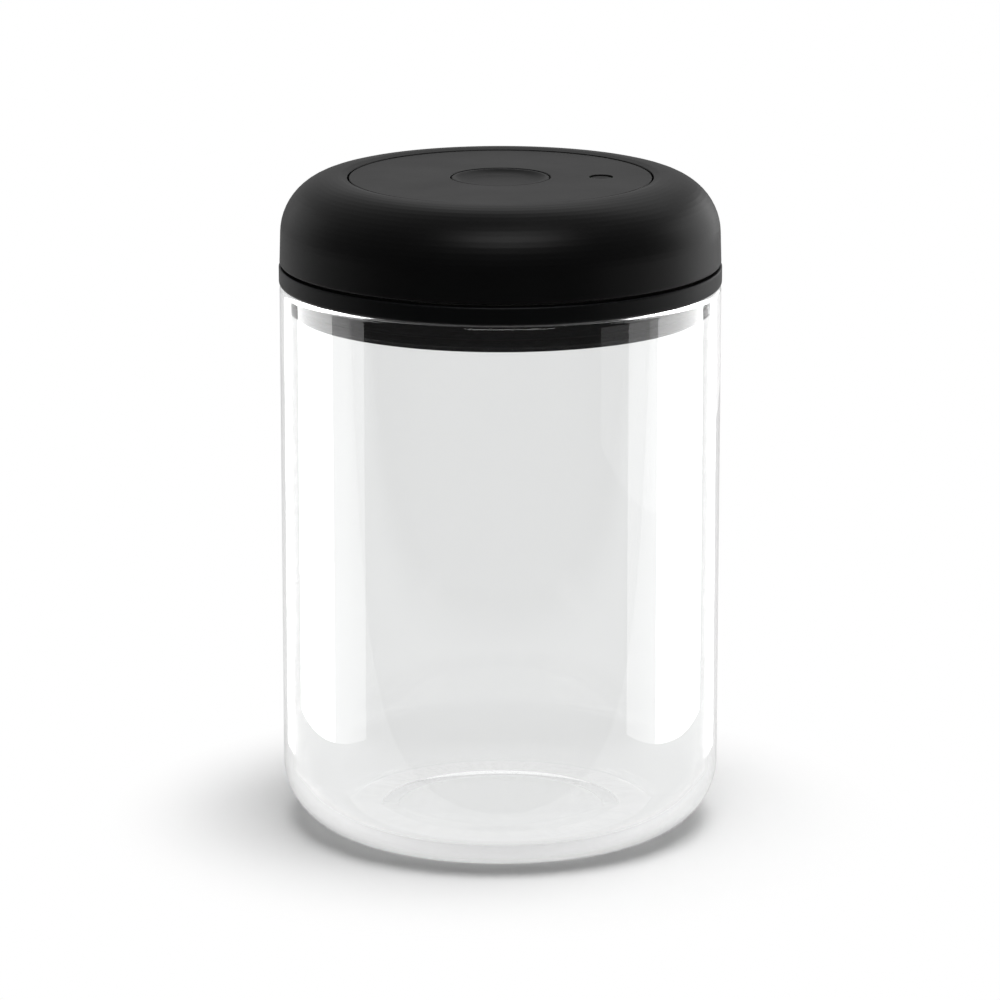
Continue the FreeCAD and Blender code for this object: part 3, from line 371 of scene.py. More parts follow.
def make_piece(name, points, faces, weights, body, slot, node):
    """Puts whole arrays of points and faces into a smooth mesh that rides on a body and stands for a node.

    A face whose first or last two corners are one point is a triangle at a pole. Unused points are dropped.
    """
    faces = faces.reshape(-1, 4)
    pole_first = faces[:, 0] == faces[:, 1]
    pole_last = faces[:, 2] == faces[:, 3]
    quads = faces[~(pole_first | pole_last)]
    triangles = np.concatenate([faces[pole_first][:, [0, 2, 3]], faces[pole_last][:, :3]])
    used, corners = np.unique(np.concatenate([quads.ravel(), triangles.ravel()]), return_inverse=True)
    sizes = np.repeat([4, 3], [len(quads), len(triangles)])
    mesh = bpy.data.meshes.new(name)
    mesh.vertices.add(len(used))
    mesh.vertices.foreach_set("co", points[used].astype(np.float32).ravel())
    mesh.loops.add(len(corners))
    mesh.loops.foreach_set("vertex_index", corners.astype(np.int32))
    mesh.polygons.add(len(sizes))
    mesh.polygons.foreach_set("loop_start", (np.cumsum(sizes) - sizes).astype(np.int32))
    mesh.polygons.foreach_set("use_smooth", np.ones(len(sizes), bool))
    mesh.update(calc_edges=True)
    layer = mesh.attributes.new(EDGE_LAYER, "FLOAT", "POINT")
    layer.data.foreach_set("value", weights[used].astype(np.float32))
    if mesh.validate():
        raise RuntimeError(f"the surface of {name} has faulty faces")
    mesh.materials.append(finish_for(slot))
    piece = placed(name, mesh)
    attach(piece, body)
    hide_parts(node)
    return piece


def turned_piece(
    name, corners, around, closed, body, slot, node, centre=(0.0, 0.0), arc_step=ARC_STEP,
):
    """A piece that is one eased profile carried round a vertical axis."""
    outline, weights = support_runs(*eased_outline(corners, arc_step), closed)
    points, numbers = spun(outline, around, closed, centre)
    faces = grid_faces(numbers, closed)
    return make_piece(name, points, faces, np.repeat(weights, around), body, slot, node)


def feed(tree, node, values):
    """Links sockets of a node to other sockets, or gives them plain values."""
    for key, value in values.items():
        if isinstance(value, bpy.types.NodeSocket):
            tree.links.new(value, node.inputs[key])
        else:
            node.inputs[key].default_value = value


def add_node(tree, kind, values=None, **settings):
    """A new node with its settings and its sockets fed."""
    node = tree.nodes.new(kind)
    for key, value in settings.items():
        setattr(node, key, value)
    feed(tree, node, values or {})
    return node


def math_node(tree, operation, first, second):
    """The result of an operation on two sockets or numbers."""
    return add_node(tree, "ShaderNodeMath", {0: first, 1: second}, operation=operation).outputs[0]


def map_range(tree, value, low, high, to_low, to_high):
    """A socket's value carried from one range to another, smoothly and without leaving it."""
    return add_node(tree, "ShaderNodeMapRange", interpolation_type="SMOOTHSTEP", values={
        "Value": value, "From Min": low, "From Max": high, "To Min": to_low, "To Max": to_high,
    }).outputs["Result"]


def mix_colour(tree, factor, first, second, blend="MIX"):
    """Two colours mixed by a factor. Each is a socket or a plain value."""
    values = {0: factor, 6: first, 7: second}
    return add_node(tree, "ShaderNodeMix", values, data_type="RGBA", blend_type=blend).outputs[2]


def mix_shaders(tree, factor, first, second):
    """Two shader sockets mixed by a factor socket."""
    return add_node(tree, "ShaderNodeMixShader", {0: factor, 1: first, 2: second}).outputs["Shader"]


def noise(tree, vector, scale, detail):
    """A noise value over object coordinates. The scale is a socket or a number."""
    return add_node(tree, "ShaderNodeTexNoise", {
        "Vector": vector, "Scale": scale, "Detail": detail, "Roughness": NOISE_ROUGHNESS,
    }).outputs[0]


def bumped(tree, height, strength, depth):
    """The normal of a surface with a bump of a depth in metres."""
    values = {"Height": height, "Strength": strength, "Distance": depth}
    return add_node(tree, "ShaderNodeBump", values).outputs["Normal"]


def new_group(name, inputs, outputs):
    """A shader node group with named sockets, the sockets of its input node, and its output node."""
    tree = bpy.data.node_groups.new(name, "ShaderNodeTree")
    for side, sockets in (("INPUT", inputs), ("OUTPUT", outputs)):
        for label, kind in sockets.items():
            tree.interface.new_socket(label, in_out=side, socket_type="NodeSocket" + kind)
    return tree, tree.nodes.new("NodeGroupInput").outputs, tree.nodes.new("NodeGroupOutput")


def moulding_group():
    """Moulded surface: fine pebbled grain, slow patches of tone and gloss, and rubbed edges."""
    if "moulding" in bpy.data.node_groups:
        return bpy.data.node_groups["moulding"]
    tree, given, result = new_group("moulding", {
        "Vector": "Vector", "Edge": "Float", "Colour": "Color", "Worn Colour": "Color", "Roughness": "Float",
        "Gloss Spread": "Float", "Grain Scale": "Float", "Patch Scale": "Float",
    }, {"Colour": "Color", "Roughness": "Float", "Height": "Float"})
    vector = given["Vector"]
    patches = noise(tree, vector, given["Patch Scale"], 4.0)
    grain = noise(tree, vector, given["Grain Scale"], 2.0)
    pebbles = add_node(tree, "ShaderNodeTexVoronoi", feature="SMOOTH_F1", values={
        "Vector": vector,
        "Scale": math_node(tree, "MULTIPLY", given["Grain Scale"], PEBBLE_SCALE),
        "Randomness": 1.0,
    }).outputs["Distance"]
    tone = map_range(tree, patches, *PATCH_RANGE, *PATCH_TONE)
    toned = mix_colour(tree, 1.0, given["Colour"], tone, "MULTIPLY")
    scuffs = map_range(tree, noise(tree, vector, SCUFF_SCALE, 3.0), *SCUFF_RANGE, 0.0, 1.0)
    worn = math_node(tree, "MULTIPLY", given["Edge"], scuffs)
    middle = math_node(tree, "SUBTRACT", patches, 0.5)
    swing = math_node(tree, "MULTIPLY", middle, given["Gloss Spread"])
    pebbled = math_node(tree, "MULTIPLY", pebbles, PEBBLE_HEIGHT)
    feed(tree, result, {
        "Colour": mix_colour(tree, worn, toned, given["Worn Colour"]),
        "Roughness": math_node(tree, "ADD", given["Roughness"], swing),
        "Height": math_node(tree, "ADD", grain, pebbled),
    })
    return tree


def turned_metal_group():
    """Machined metal: fine rings along the height that the gloss follows, and slow tarnish."""
    if "turned_metal" in bpy.data.node_groups:
        return bpy.data.node_groups["turned_metal"]
    tree, given, result = new_group("turned_metal", {
        "Vector": "Vector", "Colour": "Color", "Tarnish": "Color", "Roughness": "Float",
    }, {"Colour": "Color", "Roughness": "Float", "Height": "Float"})
    vector = given["Vector"]
    stretched = add_node(tree, "ShaderNodeMapping", {"Vector": vector, "Scale": RING_STRETCH})
    rings = noise(tree, stretched.outputs["Vector"], RING_SCALE, 3.0)
    stains = map_range(tree, noise(tree, vector, STAIN_SCALE, 4.0), *STAIN_RANGE, 0.0, MOST_STAIN)
    swing = math_node(tree, "MULTIPLY", math_node(tree, "SUBTRACT", rings, 0.5), RING_GLOSS)
    feed(tree, result, {
        "Colour": mix_colour(tree, stains, given["Colour"], given["Tarnish"]),
        "Roughness": math_node(tree, "ADD", given["Roughness"], swing),
        "Height": rings,
    })
    return tree


def empty_tree(owner):
    """The cleared node tree of a material or a world."""
    owner.use_nodes = True
    owner.node_tree.nodes.clear()
    return owner.node_tree


def new_material(name):
    """A material with one Principled shader, and the Object coordinates that its pattern reads."""
    material = bpy.data.materials.new(name)
    tree = empty_tree(material)
    shader = add_node(tree, "ShaderNodeBsdfPrincipled")
    add_node(tree, "ShaderNodeOutputMaterial", {"Surface": shader.outputs["BSDF"]})
    return material, tree, shader, add_node(tree, "ShaderNodeTexCoord").outputs["Object"]


def use_finish(tree, finish, shader, strength, depth):
    """Feeds a group's colour, roughness and height to the shader, the height as a bump of a real depth."""
    feed(tree, shader, {
        "Base Color": finish.outputs["Colour"],
        "Roughness": finish.outputs["Roughness"],
        "Normal": bumped(tree, finish.outputs["Height"], strength, depth * MM),
    })


def moulded(
    name, shade, worn, roughness, gloss_spread=0.12, grain=2600.0, patch=45.0, strength=0.25, depth=0.03,
    plain=None,
):
    """A moulded plastic or rubber. The grain's scale is per metre and its depth in millimetres.

    The plain values go straight to the shader's own sockets.
    """
    material, tree, shader, vector = new_material(name)
    finish = add_node(tree, "ShaderNodeGroup", node_tree=moulding_group(), values={
        "Vector": vector,
        "Edge": add_node(tree, "ShaderNodeAttribute", attribute_name=EDGE_LAYER).outputs["Fac"],
        "Colour": (*shade, 1.0),
        "Worn Colour": (*worn, 1.0),
        "Roughness": roughness,
        "Gloss Spread": gloss_spread,
        "Grain Scale": grain,
        "Patch Scale": patch,
    })
    use_finish(tree, finish, shader, strength, depth)
    feed(tree, shader, plain or {})
    return material


def lid_black(name, setting, wear, level, **values):
    """A black in one of the lid's colour settings, paler where it is worn, with its own specular level."""
    shade = getattr(bpy.context.scene.canister_lid, setting)
    worn = [wear * part for part in shade]
    return moulded(name, shade, worn, plain={"Specular IOR Level": level}, **values)


def machined(name, shade, tarnish, roughness, strength=0.15, depth=0.02):
    """Turned metal with its rings and tarnish. The rings' depth is in millimetres."""
    material, tree, shader, vector = new_material(name)
    finish = add_node(tree, "ShaderNodeGroup", node_tree=turned_metal_group(), values={
        "Vector": vector, "Colour": (*shade, 1.0), "Tarnish": (*tarnish, 1.0), "Roughness": roughness,
    })
    shader.inputs["Metallic"].default_value = 1.0
    use_finish(tree, finish, shader, strength, depth)
    return material


def clear_glass(name):
    """Clear glass with a faint slow ripple, darker where it is deep, which lets lamps through.

    Light that has turned in the glass more than twice goes straight on, so that none is lost in the foot.
    """
    jar = bpy.context.scene.canister_jar
    material, tree, shader, vector = new_material(name)
    feed(tree, shader, {
        "Base Color": (*jar.tint, 1.0), "Roughness": 0.0, "IOR": 1.5, "Transmission Weight": 1.0,
        "Normal": bumped(tree, noise(tree, vector, RIPPLE_SCALE, 1.0), RIPPLE_STRENGTH, MM),
    })
    path = add_node(tree, "ShaderNodeLightPath")
    late = math_node(tree, "GREATER_THAN", path.outputs["Glossy Depth"], MOST_TURNS)
    onward = add_node(tree, "ShaderNodeBsdfTransparent")
    turned = mix_shaders(tree, late, shader.outputs["BSDF"], onward.outputs["BSDF"])
    shadow = add_node(tree, "ShaderNodeBsdfTransparent", {"Color": GLASS_SHADE})
    depth = add_node(tree, "ShaderNodeVolumeAbsorption", {"Color": GLASS_DEPTH, "Density": jar.density})
    output = next(node for node in tree.nodes if node.type == "OUTPUT_MATERIAL")
    feed(tree, output, {
        "Surface": mix_shaders(tree, path.outputs["Is Shadow Ray"], turned, shadow.outputs["BSDF"]),
        "Volume": depth.outputs["Volume"],
    })
    return material


def pressed_felt(name):
    """Pressed felt: crossed fibres, soft mottling and a short nap."""
    material, tree, shader, vector = new_material(name)
    fibres = add_node(tree, "ShaderNodeTexNoise", {
        "Vector": vector, "Scale": 900.0, "Detail": 5.0, "Roughness": 0.7, "Distortion": 3.0,
    }).outputs[0]
    tone = map_range(tree, fibres, *PATCH_RANGE, *FELT_TONE)
    mottle = mix_colour(tree, noise(tree, vector, 70.0, 3.0), *FELT_COLOURS)
    feed(tree, shader, {
        "Base Color": mix_colour(tree, 1.0, mottle, tone, "MULTIPLY"),
        "Roughness": map_range(tree, fibres, *PATCH_RANGE, *FELT_ROUGHNESS),
        "Normal": bumped(tree, fibres, 0.6, 0.15 * MM),
        "Sheen Weight": 0.4,
    })
    return material


FINISHES = {  # maker and values for each of the record's slots
    "jar_glass": (clear_glass, {"name": "clear_glass"}),
    "lid_black": (lid_black, {  # matt shell, plate, button and indicator
        "name": "soft_touch_black", "setting": "shell_colour", "wear": 2.2, "level": 0.19, "roughness": 0.38,
    }),
    "base_black": (lid_black, {  # rim and underside, a little bluer and glossier than the shell
        "name": "satin_black", "setting": "rim_colour", "wear": 2.0, "level": 0.18, "roughness": 0.38,
        "gloss_spread": 0.1,
    }),
    "gasket_black": (lid_black, {  # soft silicone of the seal
        "name": "seal_black", "setting": "seal_colour", "wear": 1.5, "level": 0.04, "roughness": 0.6,
        "gloss_spread": 0.1, "grain": 1800.0,
    }),
    "glide_white": (moulded, {  # smooth acetal of the glide ring and the cam plate
        "name": "acetal_white", "shade": (0.74, 0.73, 0.69), "worn": (0.8, 0.79, 0.76), "roughness": 0.33,
        "gloss_spread": 0.08, "grain": 1500.0, "patch": 60.0, "strength": 0.12,
    }),
    "frame_grey": (moulded, {  # satin pump deck and frame parts
        "name": "satin_grey", "shade": (0.09, 0.094, 0.105), "worn": (0.15, 0.155, 0.17), "roughness": 0.42,
    }),
    "piston_white": (moulded, {
        "name": "moulded_white", "shade": (0.66, 0.66, 0.64), "worn": (0.74, 0.74, 0.72), "roughness": 0.38,
        "gloss_spread": 0.1, "grain": 1900.0,
    }),
    "valve_silicone": (moulded, {  # rust-red valves, diaphragm and poppet seal
        "name": "rust_silicone", "shade": (0.36, 0.06, 0.035), "worn": (0.42, 0.1, 0.07), "roughness": 0.48,
        "gloss_spread": 0.1, "grain": 1700.0, "plain": {"Sheen Weight": 0.15},
    }),
    "seal_rubber": (moulded, {  # matt piston rings
        "name": "matt_rubber", "shade": (0.012, 0.012, 0.012), "worn": (0.02, 0.02, 0.02), "roughness": 0.55,
        "gloss_spread": 0.1, "grain": 2200.0,
    }),
    "signal_green": (moulded, {  # smooth sleeve that shows when the indicator sinks
        "name": "bright_green", "shade": (0.02, 0.26, 0.05), "worn": (0.06, 0.34, 0.1), "roughness": 0.3,
        "gloss_spread": 0.06, "grain": 2400.0,
    }),
    "steel": (machined, {  # plated screws and springs
        "name": "plated_steel", "shade": (0.56, 0.57, 0.58), "tarnish": (0.36, 0.35, 0.34), "roughness": 0.28,
    }),
    "brass": (machined, {  # follower sleeves
        "name": "turned_brass", "shade": (0.66, 0.45, 0.17), "tarnish": (0.42, 0.26, 0.09), "roughness": 0.3,
    }),
    "filter_felt": (pressed_felt, {"name": "pressed_felt"}),
}


def finish_for(slot):
    """The material of one of the record's slots, made the first time it is asked for."""
    maker, values = FINISHES[slot]
    return bpy.data.materials.get(values["name"]) or maker(**values)


def glass_only():
    """The collection of what the side panels light."""
    return bpy.data.collections.get("glass_only") or bpy.data.collections.new("glass_only")


class CANISTER_OT_jar(Operator):
    """Glass jar: a straight wall, a rounded foot with a shallow hollow, and a rounded lip"""

    bl_idname = "canister.jar"
    bl_label = "Glass jar"

    def execute(self, context):
        jar = context.scene.canister_jar
        bore = JAR_RADIUS - jar.wall
        corners = [
            (0.0, JAR_BOTTOM + jar.punt_depth, 0.0),
            (jar.punt - jar.punt_run, JAR_BOTTOM + jar.punt_depth, jar.punt_ease),
            (jar.punt, JAR_BOTTOM, jar.punt_ease),
            (JAR_RADIUS, JAR_BOTTOM, jar.foot),
            (JAR_RADIUS, JAR_TOP, jar.lip),
            (bore, JAR_TOP, jar.lip),
            (bore, JAR_BOTTOM + jar.floor, jar.inner_foot),
            (0.0, JAR_BOTTOM + jar.floor, 0.0),
        ]
        shell = turned_piece(
            "jar_shell", corners, jar.around, False, "jar", "jar_glass", "glass_jar",
            arc_step=GLASS_ARC_STEP,
        )
        glass_only().objects.link(shell)
        return {"FINISHED"}


class CANISTER_OT_rim(Operator):
    """Lid rim: a flange that sits on the glass, over a plug that carries the seal"""

    bl_idname = "canister.rim"
    bl_label = "Lid rim"

    def execute(self, context):
        lid = context.scene.canister_lid
        edge = lid.break_edge
        corners = [
            (lid.plug_bore, RIM_TOP, edge),
            (lid.plug_bore, FILTER_TOP, edge),
            (lid.plug_catch, FILTER_TOP, edge),
            (lid.plug_catch, FILTER_BOTTOM, edge),
            (lid.plug_bore, FILTER_BOTTOM, edge),
            (lid.plug_bore, RIM_BOTTOM, edge),
            (lid.plug_lip, RIM_BOTTOM, 3 * edge),
            (lid.plug_lip, GASKET_BOTTOM, edge),
            (lid.plug_radius, GASKET_BOTTOM, edge),
            (lid.plug_radius, GASKET_TOP, edge),
            (RIM_RADIUS, GASKET_TOP, lid.flange_corner),
            (RIM_RADIUS, RIM_TOP, 3 * edge),
        ]
        turned_piece("rim_shell", corners, lid.around, True, "lid", "base_black", "lid_rim")
        return {"FINISHED"}


class CANISTER_OT_seal(Operator):
    """Seal: a soft ring with fins that press on the glass"""

    bl_idname = "canister.seal"
    bl_label = "Seal"

    def execute(self, context):
        lid = context.scene.canister_lid
        pitch = (GASKET_TOP - GASKET_BOTTOM) / lid.fins
        edge = lid.break_edge
        corners = [(lid.plug_radius, GASKET_TOP, edge), (lid.plug_radius, GASKET_BOTTOM, edge)]
        for fin in range(lid.fins):
            start = GASKET_BOTTOM + fin * pitch
            corners += [
                (lid.fin_root, start, edge),
                (GASKET_RADIUS, start + (pitch - lid.fin_land) / 2, edge),
                (GASKET_RADIUS, start + (pitch + lid.fin_land) / 2, edge),
            ]
        corners.append((lid.fin_root, GASKET_TOP, edge))
        turned_piece("seal_fins", corners, lid.around, True, "lid", "gasket_black", "seal_gasket")
        return {"FINISHED"}


class CANISTER_OT_grip(Operator):
    """Turning shell: a soft shoulder outside, a bearing ledge and the cam plate's rib inside"""

    bl_idname = "canister.grip"
    bl_label = "Turning shell"

    def execute(self, context):
        lid = context.scene.canister_lid
        edge = lid.break_edge
        top_radius = GRIP_RADIUS - lid.draft
        shoulder_radius = top_radius - lid.shoulder
        shoulder_height = GRIP_TOP - lid.shoulder
        inside = lid.shoulder - lid.wall
        bore = top_radius - lid.wall
        lip_bore = PLATE_RADIUS + lid.plate_seam
        lip_top = GRIP_TOP - lid.lip_drop
        ledge_bottom = GRIP_BOTTOM + lid.ledge_rise
        ledge_top = ledge_bottom + lid.ledge_thick

        def ceiling(radius):
            """Height of the shell's round inside over a radius, on a circle about the shoulder's middle."""
            return shoulder_height + np.sqrt(inside ** 2 - (radius - shoulder_radius) ** 2)

        corners = [
            (GRIP_RADIUS, GRIP_BOTTOM, 4 * edge),
            (top_radius, GRIP_TOP, lid.shoulder),
            (lip_bore + lid.lip_run, GRIP_TOP, lid.crest),
            (lip_bore, lip_top, 2 * edge),
            (lip_bore, lip_top - lid.lip_depth, edge),
            (shoulder_radius, shoulder_height + inside, edge),
            (lid.rib_inside, ceiling(lid.rib_inside), edge),
            (lid.rib_inside, CAM_TOP, edge),
            (lid.rib_outside, CAM_TOP, edge),
            (lid.rib_outside, ceiling(lid.rib_outside), edge),
            (bore, shoulder_height, edge),
            (bore, ledge_top, edge),
            (lid.ledge_bore, ledge_top, edge),
            (lid.ledge_bore, ledge_bottom, edge),
            (bore, ledge_bottom, edge),
            (bore, GRIP_BOTTOM, edge),
        ]
        turned_piece("grip_shell", corners, lid.around, True, "grip", "lid_black", "grip_ring")
        return {"FINISHED"}


def block_ring(numbers, rows, columns):
    """Point numbers round the edge of a block of a grid."""
    block = numbers[np.ix_(rows, columns)]
    return np.concatenate([block[0], block[1:-1, -1], block[-1][::-1], block[1:-1, 0][::-1]])


def plate_surface(top):
    """Points, faces and edge weights of the top plate, with a round hole beside its axis.

    The plate is a profile carried round the axis. A block of its grid is left out above and below the
    hole, and a sleeve joins the two blocks' edges W(t): rows (1 - s) W(t) + s C(t) run in to a circle
    C(t) at the same bearings, then down the hole, then out again.
    """
    edge = top.plate_edge
    button_hole = BUTTON_RADIUS + top.button_gap
    guide = button_hole + top.guide_wall
    plate_bottom = PLATE_TOP - top.plate_thick
    guide_bottom = plate_bottom - top.guide_length
    seat = COLLAR_HIGH.x - INDICATOR_PLACE
    hole = top.pin_radius + top.pin_gap
    rings = INDICATOR_PLACE + np.linspace(-HOLE_WINDOW, HOLE_WINDOW, HOLE_RINGS)
    under = [(radius, plate_bottom, 0.0) for radius in rings]
    over = [(radius, PLATE_TOP, 0.0) for radius in rings[::-1]]
    corners = [
        (button_hole, guide_bottom, edge),
        (guide, guide_bottom, edge),
        (guide, plate_bottom, edge),
        *under,
        (PLATE_RADIUS, plate_bottom, edge),
        (PLATE_RADIUS, PLATE_TOP, edge),
        *over,
        (button_hole, PLATE_TOP, edge),
    ]
    outline, weights = support_runs(*eased_outline(corners), True)
    points, numbers = spun(outline, top.around, True)
    half_columns = int(np.ceil(HOLE_WINDOW / INDICATOR_PLACE * top.around / TURN))
    columns = np.arange(-half_columns, half_columns + 1) % top.around
    within = np.abs(outline[:, 0] - INDICATOR_PLACE) < HOLE_WINDOW + RUN_SUPPORT / 2
    faces = grid_faces(numbers, True)
    keep = np.ones(faces.shape[:2], bool)
    edges = []
    for height in (PLATE_TOP, plate_bottom):
        rows = np.flatnonzero(within & (np.abs(outline[:, 1] - height) < RUN_SUPPORT / 2))
        keep[np.ix_(rows[:-1], columns[:-1])] = False
        ring = block_ring(numbers, rows, columns)
        bearing = np.arctan2(points[ring, 1], points[ring, 0] - INDICATOR_PLACE)
        edges.append(ring[np.argsort(bearing)])
    bearing = np.arctan2(points[edges[0], 1], points[edges[0], 0] - INDICATOR_PLACE)
    profile, profile_weights = eased_outline([
        (seat + edge, PLATE_TOP, 0.0),
        (hole, PLATE_TOP, edge / 2),
        (hole, COLLAR_HIGH.z, edge / 2),
        (seat, COLLAR_HIGH.z, edge / 2),
        (seat, plate_bottom, 0.0),
    ])
    circles = np.stack([
        INDICATOR_PLACE + profile[:, :1] * np.cos(bearing),
        profile[:, :1] * np.sin(bearing),
        np.broadcast_to(profile[:, 1:], (len(profile), len(bearing))),
    ], axis=-1)
    share = np.linspace(0.0, 1.0, 4)[1:-1, None, None]
    inwards = (1 - share) * points[edges[0]] + share * circles[0]
    outwards = (1 - share) * circles[-1] + share * points[edges[1]]
    sleeve = np.concatenate([inwards, circles, outwards])
    sleeve_numbers = len(points) + np.arange(sleeve.shape[0] * sleeve.shape[1]).reshape(sleeve.shape[:2])
    strip = np.concatenate([edges[0][None], sleeve_numbers, edges[1][None]])
    sleeve_weights = np.concatenate([np.zeros(len(share)), profile_weights, np.zeros(len(share))])
    return (
        np.concatenate([points, sleeve.reshape(-1, 3)]),
        np.concatenate([faces[keep].reshape(-1, 4), grid_faces(strip, False).reshape(-1, 4)]),
        np.concatenate([np.repeat(weights, top.around), np.repeat(sleeve_weights, len(bearing))]),
    )


class CANISTER_OT_plate(Operator):
    """Top plate: a flat disc with the button's guide, screw bosses and the indicator's hole"""

    bl_idname = "canister.plate"
    bl_label = "Top plate"

    def execute(self, context):
        top = context.scene.canister_top
        points, faces, weights = plate_surface(top)
        plate_bottom = PLATE_TOP - top.plate_thick
        edge = top.plate_edge
        for bearing in BOSS_BEARINGS:
            outline, boss_weights = eased_outline([
                (top.boss_bore, BOSS_BOTTOM, edge),
                (top.boss_radius, BOSS_BOTTOM, edge),
                (top.boss_radius, plate_bottom + edge, edge / 2),
                (top.boss_bore, plate_bottom + edge, edge / 2),
            ])
            centre = top.boss_spread * np.array([np.cos(bearing), np.sin(bearing)])
            around = top.around // 8
            boss, numbers = spun(outline, around, True, centre)
            faces = np.concatenate([faces, grid_faces(numbers, True).reshape(-1, 4) + len(points)])
            points = np.concatenate([points, boss])
            weights = np.concatenate([weights, np.repeat(boss_weights, around)])
        make_piece("plate_disc", points, faces, weights, "lid", "lid_black", "top_plate")
        return {"FINISHED"}


class CANISTER_OT_button(Operator):
    """Release button: a shallow dish with a skirt and the stem's socket under it"""

    bl_idname = "canister.button"
    bl_label = "Release button"

    def execute(self, context):
        top = context.scene.canister_top
        edge = top.plate_edge / 2
        floor = BUTTON_TOP - top.dish_depth
        web = BUTTON_TOP - top.button_web
        mouth = BUTTON_TOP - top.boss_bottom
        skirt_bottom = BUTTON_TOP - top.skirt_depth
        skirt_bore = BUTTON_RADIUS - top.button_skirt
        corners = [
            (0.0, STEM_TOP, 0.0),
            (top.stem_socket, STEM_TOP, edge),
            (top.stem_socket, mouth, edge),
            (top.stem_boss, mouth, edge),
            (top.stem_boss, web, edge),
            (skirt_bore, web, edge),
            (skirt_bore, skirt_bottom, edge),
            (BUTTON_RADIUS, skirt_bottom, edge),
            (BUTTON_RADIUS, BUTTON_TOP, top.button_edge),
            (BUTTON_RADIUS - top.button_rim, BUTTON_TOP, edge),
            (top.dish_floor, floor, top.dish_blend),
            (0.0, floor, 0.0),
        ]
        turned_piece("button_dish", corners, BUTTON_AROUND, False, "release", "lid_black", "button_cap")
        return {"FINISHED"}


class CANISTER_OT_indicator(Operator):
    """Vacuum indicator: a dimpled pin in a green collar"""

    bl_idname = "canister.indicator"
    bl_label = "Vacuum indicator"

    def execute(self, context):
        top = context.scene.canister_top
        edge = top.plate_edge / 2
        centre = (INDICATOR_PLACE, 0.0)
        flange = (PIN_HIGH.x - PIN_LOW.x) / 2
        head_bottom = PIN_HIGH.z - top.pin_head
        pin = [
            (0.0, PIN_LOW.z, 0.0),
            (flange, PIN_LOW.z, edge),
            (flange, PIN_LOW.z + top.pin_flange, edge),
            (top.pin_stem, PIN_LOW.z + top.pin_flange, edge),
            (top.pin_stem, head_bottom, edge),
            (top.pin_radius, head_bottom, edge),
            (top.pin_radius, PIN_HIGH.z, edge),
            (top.pin_radius - top.pin_rim, PIN_HIGH.z, edge),
            (0.0, PIN_HIGH.z - top.pin_dimple, 0.0),
        ]
        turned_piece(
            "indicator_pin", pin, PIN_AROUND, False, "indicator", "lid_black", "indicator_plunger", centre,
        )
        inside = top.pin_radius + top.pin_gap
        outside = (COLLAR_HIGH.x - COLLAR_LOW.x) / 2
        collar = [
            (inside, COLLAR_HIGH.z, edge),
            (inside, COLLAR_LOW.z, edge),
            (outside, COLLAR_LOW.z, edge),
            (outside, COLLAR_HIGH.z, edge),
        ]
        turned_piece(
            "indicator_collar", collar, PIN_AROUND, True, "lid", "signal_green", "indicator_sleeve", centre,
        )
        return {"FINISHED"}


def coiled(low, high, wire, turns):
    """A round wire of radius w in a box, wound up its axis with closed ends.

    At the angle a, the wire's middle is at radius R and height h(a), which rises by one pitch of nearly
    touching turns in the first and the last turn, and evenly between them. A point of the wire is
    x = cx + (R + w cos(v)) cos(a), y = cy + (R + w cos(v)) sin(a), z = h + w sin(v). The first and last rows
    are the wire's middle, where the ends close.
    """
    radius = (high.x - low.x) / 2 - wire
    pitch = END_PITCH * wire
    bottom, top = low.z + wire, high.z - wire
    turned = np.linspace(0.0, turns, COIL_STEPS * turns + 1)
    rise = np.interp(turned, [0.0, 1.0, turns - 1.0, turns], [bottom, bottom + pitch, top - pitch, top])
    turned = np.concatenate([turned[:1], turned, turned[-1:]])[:, None] * TURN
    rise = np.concatenate([rise[:1], rise, rise[-1:]])[:, None]
    thick = np.full_like(rise, wire)
    thick[[0, -1]] = 0.0
    angles = -np.arange(WIRE_SIDES) / WIRE_SIDES * TURN
    away = radius + thick * np.cos(angles)
    x = (low.x + high.x) / 2 + away * np.cos(turned)
    y = (low.y + high.y) / 2 + away * np.sin(turned)
    numbers = np.arange(x.size).reshape(x.shape)
    numbers[[0, -1]] = numbers[[0, -1], :1]
    return np.stack([x, y, rise + thick * np.sin(angles)], axis=-1).reshape(-1, 3), numbers


class CANISTER_OT_springs(Operator):
    """Springs: the coils that lift the button and the indicator"""

    bl_idname = "canister.springs"
    bl_label = "Springs"

    def execute(self, context):
        top = context.scene.canister_top
        for name, node, joint, wire, turns in (
            ("button_coil", "button_spring", "release_press", top.button_wire, top.button_turns),
            ("indicator_coil", "indicator_spring", "indicator_sink", top.pin_wire, top.pin_turns),
        ):
            low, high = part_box(node)
            points, numbers = coiled(low, high, wire, turns)
            weights = np.zeros(len(points))
            coil = make_piece(name, points, grid_faces(numbers, False), weights, "lid", "steel", node)
            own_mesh(coil)
        return {"FINISHED"}


class CANISTER_OT_inner_parts(Operator):
    """Finishes of the solids that stay: pumps, cam, valves, screws, filter and cover"""

    bl_idname = "canister.inner_parts"
    bl_label = "Inner parts"

    def execute(self, context):
        slots = {part["node"]: part["material_slot"] for part in frame["record"]["subparts"]}
        for name, node in frame["nodes"].items():
            finish = finish_for(slots[name])
            for place in node.material_slots:
                place.material = finish
            if not node.material_slots:
                raise RuntimeError(f"{name} has no material slot")
        return {"FINISHED"}


def through_glass(tree, path):
    """A mask that is 1 for what is seen through glass, however often the light turns inside it."""
    return math_node(tree, "MINIMUM", path.outputs["Transmission Depth"], 1.0)


